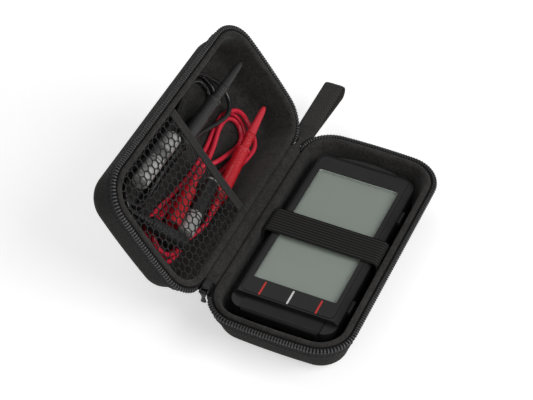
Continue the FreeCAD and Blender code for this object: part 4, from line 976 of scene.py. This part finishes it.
def finish(name, low, high, rough, pattern, size, depth, read="Object", **sockets):
    """A material: its pattern, of a size in mm, takes the colour from low to high and the roughness over its
    range, and raises the surface by a depth in mm."""
    made = bpy.data.materials.new(name)
    made.use_nodes = True
    tree = made.node_tree
    shader = tree.nodes["Principled BSDF"]
    group = tree.nodes.new("ShaderNodeGroup")
    group.node_tree = pattern
    put_in(tree, group.inputs["Size"], size * MM)
    put_in(tree, group.inputs["Vector"], wired(tree, "TexCoord").outputs[read])
    spread = wired(tree, "MapRange", From_Min=0.3, From_Max=0.7, Value=group.outputs["Shade"])
    spread = spread.outputs["Result"]
    tint = wired(tree, "Mix")
    tint.data_type = "RGBA"
    for k, value in ((0, spread), (6, (*low, 1)), (7, (*high, 1))):
        put_in(tree, tint.inputs[k], value)
    gloss = wired(tree, "MapRange", To_Min=rough[0], To_Max=rough[1], Value=spread)
    sockets.update(Base_Color=tint.outputs[2], Roughness=gloss.outputs["Result"])
    if depth:
        bump = wired(tree, "Bump", Strength=1.0, Distance=depth * MM, Height=group.outputs["Height"])
        sockets["Normal"] = bump.outputs["Normal"]
    for label, value in sockets.items():
        put_in(tree, shader.inputs[label.replace("_", " ")], value)
    return made


def grey(value, warm=0.0):
    return value * (1 + warm), value, value * (1 - warm)


shell_cloth = finish("shell_cloth", grey(0.009, 0.05), grey(0.023, 0.05), (0.7, 0.9), PAINTED_SHEEN_WEAVE, 1.0, 0.12, "UV",
                     Specular_IOR_Level=0.2)
lining = finish("lining_nap", grey(0.017, 0.05), grey(0.040, 0.05), (0.85, 1.0), NAP, 1.5, 0.6,
                Specular_IOR_Level=0.15, Sheen_Weight=0.12, Sheen_Roughness=0.5)
tape_cloth = finish("zip_tape_cloth", grey(0.006), grey(0.020), (0.7, 0.9), PAINTED_SHEEN_WEAVE, 0.55, 0.07, "UV",
                    Specular_IOR_Level=0.2)
tooth_nylon = finish("zip_tooth_nylon", grey(0.035), grey(0.06), (0.18, 0.26), GRAIN, 0.6, 0.01)
zip_cord = finish("zip_cord", grey(0.003), grey(0.008), (0.7, 0.9), GRAIN, 0.5, 0.03, Specular_IOR_Level=0.2)
thread = finish("sewing_thread", grey(0.014), grey(0.035), (0.6, 0.8), GRAIN, 0.25, 0.05)
black_enamel = finish("slider_enamel", grey(0.009), grey(0.018), (0.34, 0.48), GRAIN, 0.7, 0.015,
                      Specular_IOR_Level=0.35)
# the elastic's low colour is the painted shade in its rib grooves, its high colour the lit ridges
elastic = finish("ribbed_elastic_groove_shade", grey(0.003, 0.04), grey(0.034, 0.04), (0.7, 0.9), RIBS, STRAP_RIB, 0.06,
                 "UV", Specular_IOR_Level=0.2)
webbing = finish("wrist_webbing", grey(0.004, 0.04), grey(0.066, 0.04), (0.65, 0.85), PAINTED_SHEEN_WEAVE, 1.25, 0.25, "UV",
                 Specular_IOR_Level=0.25)
net_yarn = finish("net_yarn", grey(0.012), grey(0.03), (0.6, 0.8), GRAIN, 0.3, 0.05, Specular_IOR_Level=0.25)
binding_web = finish("binding_webbing", grey(0.012, 0.04), grey(0.05, 0.04), (0.65, 0.85), PAINTED_SHEEN_WEAVE, 1.0, 0.15,
                     "UV", Specular_IOR_Level=0.25)
meter_plastic = finish("meter_plastic", grey(0.011), grey(0.018), (0.34, 0.5), GRAIN, 0.35, 0.02,
                       Specular_IOR_Level=0.32)
jack_plastic = finish("jack_plastic", grey(0.007), grey(0.012), (0.3, 0.44), GRAIN, 0.4, 0.02,
                      Specular_IOR_Level=0.25)
key_rubber = finish("key_rubber", grey(0.02), grey(0.03), (0.55, 0.7), GRAIN, 0.3, 0.02)
red_cord_skin = finish("red_cord_skin", (0.62, 0.022, 0.048), (0.76, 0.034, 0.066), (0.16, 0.26), GRAIN, 0.8,
                       0.012)
red_grip = finish("red_grip", (0.46, 0.008, 0.016), (0.60, 0.014, 0.026), (0.26, 0.4), GRAIN, 0.5, 0.02)
red_soft = finish("red_soft", (0.56, 0.018, 0.034), (0.68, 0.028, 0.05), (0.35, 0.5), GRAIN, 0.5, 0.015)
black_cord_skin = finish("black_cord_skin", grey(0.014), grey(0.024), (0.14, 0.22), GRAIN, 0.8, 0.012)
black_grip = finish("black_grip", grey(0.016), grey(0.026), (0.34, 0.5), GRAIN, 0.5, 0.02)
black_soft = finish("black_soft", grey(0.018), grey(0.028), (0.4, 0.55), GRAIN, 0.5, 0.015)
nickel = finish("nickel_plate", grey(0.55, 0.02), grey(0.68, 0.02), (0.2, 0.34), DRAWN, 0.4, 0.006,
                Metallic=1.0)
brass = finish("brass_tube", (0.60, 0.42, 0.16), (0.72, 0.52, 0.22), (0.25, 0.4), DRAWN, 0.4, 0.006,
               Metallic=1.0)
steel = finish("zinc_steel", grey(0.42), grey(0.55), (0.3, 0.45), DRAWN, 0.4, 0.006, Metallic=1.0)
board_green = finish("board_resin", (0.010, 0.07, 0.03), (0.018, 0.11, 0.045), (0.35, 0.5), GRAIN, 0.6, 0.01)
chip_resin = finish("chip_resin", grey(0.008), grey(0.016), (0.3, 0.5), GRAIN, 0.8, 0.03)
strip_rubber = finish("strip_rubber", grey(0.10), grey(0.2), (0.6, 0.75), GRAIN, 0.4, 0.02)
fuse_glass = finish("fuse_ceramic", grey(0.55), grey(0.68), (0.25, 0.4), GRAIN, 0.6, 0.01)
red_ink = finish("red_ink", (0.50, 0.020, 0.016), (0.60, 0.03, 0.022), (0.45, 0.6), GRAIN, 0.3, 0.01)
white_ink = finish("white_ink", grey(0.62), grey(0.76), (0.45, 0.6), GRAIN, 0.3, 0.01)
lcd_glass = finish("lcd_glass", (0.240, 0.277, 0.243), (0.250, 0.288, 0.252), (0.42, 0.48), GRAIN, 14.0, 0.0)


def window_material():
    """Clear moulded window: plain glass that lets shadow and diffuse rays through."""
    made = finish("clear_window", grey(0.98), grey(1.0), (0.02, 0.05), GRAIN, 2.0, 0.0, IOR=1.25,
                  Transmission_Weight=1.0)
    tree = made.node_tree
    shader, out = tree.nodes["Principled BSDF"], tree.nodes["Material Output"]
    path, clear, mix = (tree.nodes.new(kind) for kind in
                        ("ShaderNodeLightPath", "ShaderNodeBsdfTransparent", "ShaderNodeMixShader"))
    passing = sums(tree, "MAXIMUM", path.outputs["Is Shadow Ray"], path.outputs["Is Diffuse Ray"])
    tree.links.new(passing, mix.inputs[0])
    tree.links.new(shader.outputs[0], mix.inputs[1])
    tree.links.new(clear.outputs[0], mix.inputs[2])
    tree.links.new(mix.outputs[0], out.inputs["Surface"])
    return made


def cell_material(name, bands):
    """Sleeved cell: bright ends and a sleeve in darker steps along the cell's own map, the first cell's being
    its own bands and the second cell's long dark step painted shade from the cords and plug over it.
    """
    made = finish(name, grey(0.5), grey(0.62), (0.3, 0.42), GRAIN, 1.2, 0.01, "UV", Metallic=0.2)
    tree = made.node_tree
    along = axes(tree, wired(tree, "TexCoord").outputs["UV"])[1]
    band = wired(tree, "ValToRGB", Fac=sums(tree, "DIVIDE", along, CELL_LENGTH * MM))
    band.color_ramp.interpolation = "CONSTANT"
    stops = band.color_ramp.elements
    stops[0].position, stops[0].color = 0.0, (0.62, 0.62, 0.6, 1)
    stops[1].position, stops[1].color = 0.03, (0.58, 0.58, 0.57, 1)
    for position, value in bands:
        stops.new(position).color = (value, value, value * 0.98, 1)
    mix = wired(tree, "Mix")
    mix.data_type = "RGBA"
    mix.blend_type = "MULTIPLY"
    for k, value in ((0, 0.45), (6, band.outputs["Color"]), (7, tree.nodes["Mix"].outputs[2])):
        put_in(tree, mix.inputs[k], value)
    put_in(tree, tree.nodes["Principled BSDF"].inputs["Base Color"], mix.outputs[2])
    return made


clear_window = window_material()
BRIGHT_BANDS = ((0.34, 0.24), (0.52, 0.58), (0.56, 0.2), (0.585, 0.6))
# the second cell: its long dark steps are painted shade, from the cords and the plug that lie over it
SHADED_BANDS = ((0.06, 0.04), (0.64, 0.6), (0.68, 0.04), (0.705, 0.6))
SLEEVES = {"spare_cell_1": cell_material("bright_sleeve", BRIGHT_BANDS),
           "spare_cell_2": cell_material("shaded_sleeve", SHADED_BANDS)}


# The case


def build_case():
    piece("base_tray", shell_patches(as_built, END_LEAN), [shell_cloth, lining], "base", ["base_shell"])
    piece("lid_tray", shell_patches(in_lid, 0.0), [shell_cloth, lining], "lid", ["lid_shell"])
    for side, body, into in (("base", "base", as_built), ("lid", "lid", in_lid)):
        piece(side + "_tape", zip_tape_patches(into), [tape_cloth], body, [side + "_zip_tape"])
        piece(side + "_teeth", zip_teeth_patches(into), [tooth_nylon, zip_cord], body, [side + "_zip_coil"])
        piece(side + "_tape_stitches", tape_stitch_patches(into), [thread], body)
    cloth = piece("fold_cloth", spine_patches(), [lining, shell_cloth], None, ["base_spine", "lid_spine"])
    across = np.array([-1 - math.cos(LID_TILT), 0.0, math.sin(LID_TILT)])
    across = across / np.linalg.norm(across) * 1.3
    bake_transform(cloth)
    piece("slider", slider_patches(), [black_enamel], "base", ["zip_slider"])
    piece("pull", pull_patches(), [black_enamel], "pull_tab", ["zip_pull"])


def build_soft_fittings():
    patches, length = strap_patches()
    strap = piece("elastic_strap", patches, [elastic], "base", ["meter_strap"])
    patches, length = wrist_patches()
    loop = piece("wrist_loop_webbing", patches, [webbing], "base", ["wrist_strap"])
    tack = piece("wrist_loop_tack", wrist_tack_patches(), [thread], "base")
    net = piece("pocket_net", net_patches(), [net_yarn], "lid", ["net_pocket"], sharp=180)
    wall = net.modifiers.new("thickness", "SOLIDIFY")
    wall.thickness = 0.5 * MM
    wall.offset = 0.0
    band = piece("pocket_binding", binding_patches(), [binding_web], "lid", ["net_binding"])
    return net, band


def build_leads():
    skins = {"red": (red_soft, red_grip, red_soft, red_cord_skin),
             "black": (black_soft, black_grip, black_soft, black_cord_skin)}
    for colour, (cap, grip, soft, skin) in skins.items():
        probe, plug = PROBES[colour], PLUGS[colour]
        lathed(colour + "_cap_shell", cap_profile(), probe, cap, colour + "_cap", colour + "_probe_cap")
        lathed(colour + "_needle", tip_profile(), probe, nickel, "lid", colour + "_probe_tip")
        lathed(colour + "_handle", probe_profile(), probe, grip, "lid", colour + "_probe_body")
        relief = boot_profile(77, BOOT_END)
        lathed(colour + "_handle_boot", relief, probe, soft, "lid", colour + "_probe_boot")
        body = lathed(colour + "_plug", plug_profile(), plug, grip, "lid", colour + "_plug_body")
        pin = lathed(colour + "_plug_contact", pin_profile(), plug, nickel, "lid", colour + "_plug_pin")
        relief = boot_profile(30, PLUG_BOOT_END)
        boot = lathed(colour + "_plug_relief", relief, plug, soft, "lid", colour + "_plug_boot")
        cord, leaves = lead_cord(colour, skin)
    for name, pair in CELLS.items():
        lathed(name + "_sleeved", cell_profile(), pair, SLEEVES[name], "lid", name)


def dress_meter():
    """Finishes for the meter's own CAD pieces."""
    looks = {meter_plastic: ("front_cover", "rear_cover", "battery_door"), jack_plastic: ("jack_block",),
             key_rubber: ("function_button", "hold_button"), clear_window: ("screen_window",),
             lcd_glass: ("lcd_panel",), strip_rubber: ("lcd_connector_strips",),
             board_green: ("circuit_board",), chip_resin: ("main_chip", "buzzer"),
             steel: ("case_screws", "battery_door_screw", "battery_contacts"),
             nickel: ("tact_switches", "fuse_clips"), brass: ("input_jacks",), fuse_glass: ("fuse",)}
    for look, names in looks.items():
        for name in names:
            cad[name].data.materials.clear()
            cad[name].data.materials.append(look)


def face_marks():
    """Printed marks on the face by the jack end: thin round-cornered bars over the sockets."""
    marks = (("left_bar", -17.5, red_ink), ("middle_bar", 0.3, white_ink), ("right_bar", 18.3, red_ink))
    for name, x, ink in marks:
        piece(name, [pad((x, -53.7, 29.0), (0.6, 5.5), 0.06, power=6.0)], [ink], "base")


def set_stage():
    """White floor and world, three soft lamps, and the camera."""
    scene = bpy.context.scene
    scene.view_settings.view_transform = "Standard"
    world = bpy.data.worlds.new("studio")
    world.use_nodes = True
    scene.world = world
    tree = world.node_tree
    path = tree.nodes.new("ShaderNodeLightPath")
    level = sums(tree, "ADD", sums(tree, "MULTIPLY", path.outputs["Is Camera Ray"], 0.75), 0.25)
    tree.nodes["Background"].inputs["Color"].default_value = (1, 1, 1, 1)
    tree.links.new(level, tree.nodes["Background"].inputs["Strength"])

    floor_mesh = bpy.data.meshes.new("floor")
    half, drop = 4, -0.0004
    corners = [(-half, -half, drop), (half, -half, drop), (half, half, drop), (-half, half, drop)]
    floor_mesh.from_pydata(corners, [], [(0, 1, 2, 3)])
    floor = bpy.data.objects.new("floor", floor_mesh)
    scene.collection.objects.link(floor)
    paper = bpy.data.materials.new("white_paper")
    paper.use_nodes = True
    tree = paper.node_tree
    shader = tree.nodes["Principled BSDF"]
    shader.inputs["Base Color"].default_value = (0.8, 0.8, 0.8, 1)
    shader.inputs["Roughness"].default_value = 0.9
    shader.inputs["Specular IOR Level"].default_value = 0.0
    path = tree.nodes.new("ShaderNodeLightPath")
    seen = sums(tree, "MAXIMUM", path.outputs["Is Camera Ray"], path.outputs["Is Glossy Ray"])
    shader.inputs["Emission Color"].default_value = (1, 1, 1, 1)
    tree.links.new(sums(tree, "MULTIPLY", seen, 0.52), shader.inputs["Emission Strength"])
    floor_mesh.materials.append(paper)

    def lamp(name, place, size, power):
        data = bpy.data.lights.new(name, "AREA")
        data.size = size
        data.energy = power
        obj = bpy.data.objects.new(name, data)
        obj.location = place
        obj.rotation_euler = (-Vector(place)).to_track_quat("-Z", "Y").to_euler()
        scene.collection.objects.link(obj)

    lamp("key", (1.25, -0.15, 1.05), 1.1, 15.0)
    lamp("side", (-0.7, 0.5, 1.3), 1.0, 3.5)
    lamp("front", (0.2, -1.3, 1.0), 1.0, 4.0)

    lens = bpy.data.cameras.new("camera")
    lens.lens = 113.84
    lens.sensor_width = 36.0
    lens.sensor_fit = "HORIZONTAL"
    camera = bpy.data.objects.new("camera", lens)
    azimuth, elevation = math.radians(-24.3), math.radians(45.04)
    ahead = Vector((math.sin(azimuth) * math.cos(elevation), math.cos(azimuth) * math.cos(elevation),
                    -math.sin(elevation)))
    camera.location = (0.25609, -0.65388, 0.76245)
    camera.rotation_euler = ahead.to_track_quat("-Z", "Y").to_euler()
    scene.collection.objects.link(camera)
    scene.camera = camera


build_case()
net, band = build_soft_fittings()
build_leads()
dress_meter()
face_marks()
set_stage()
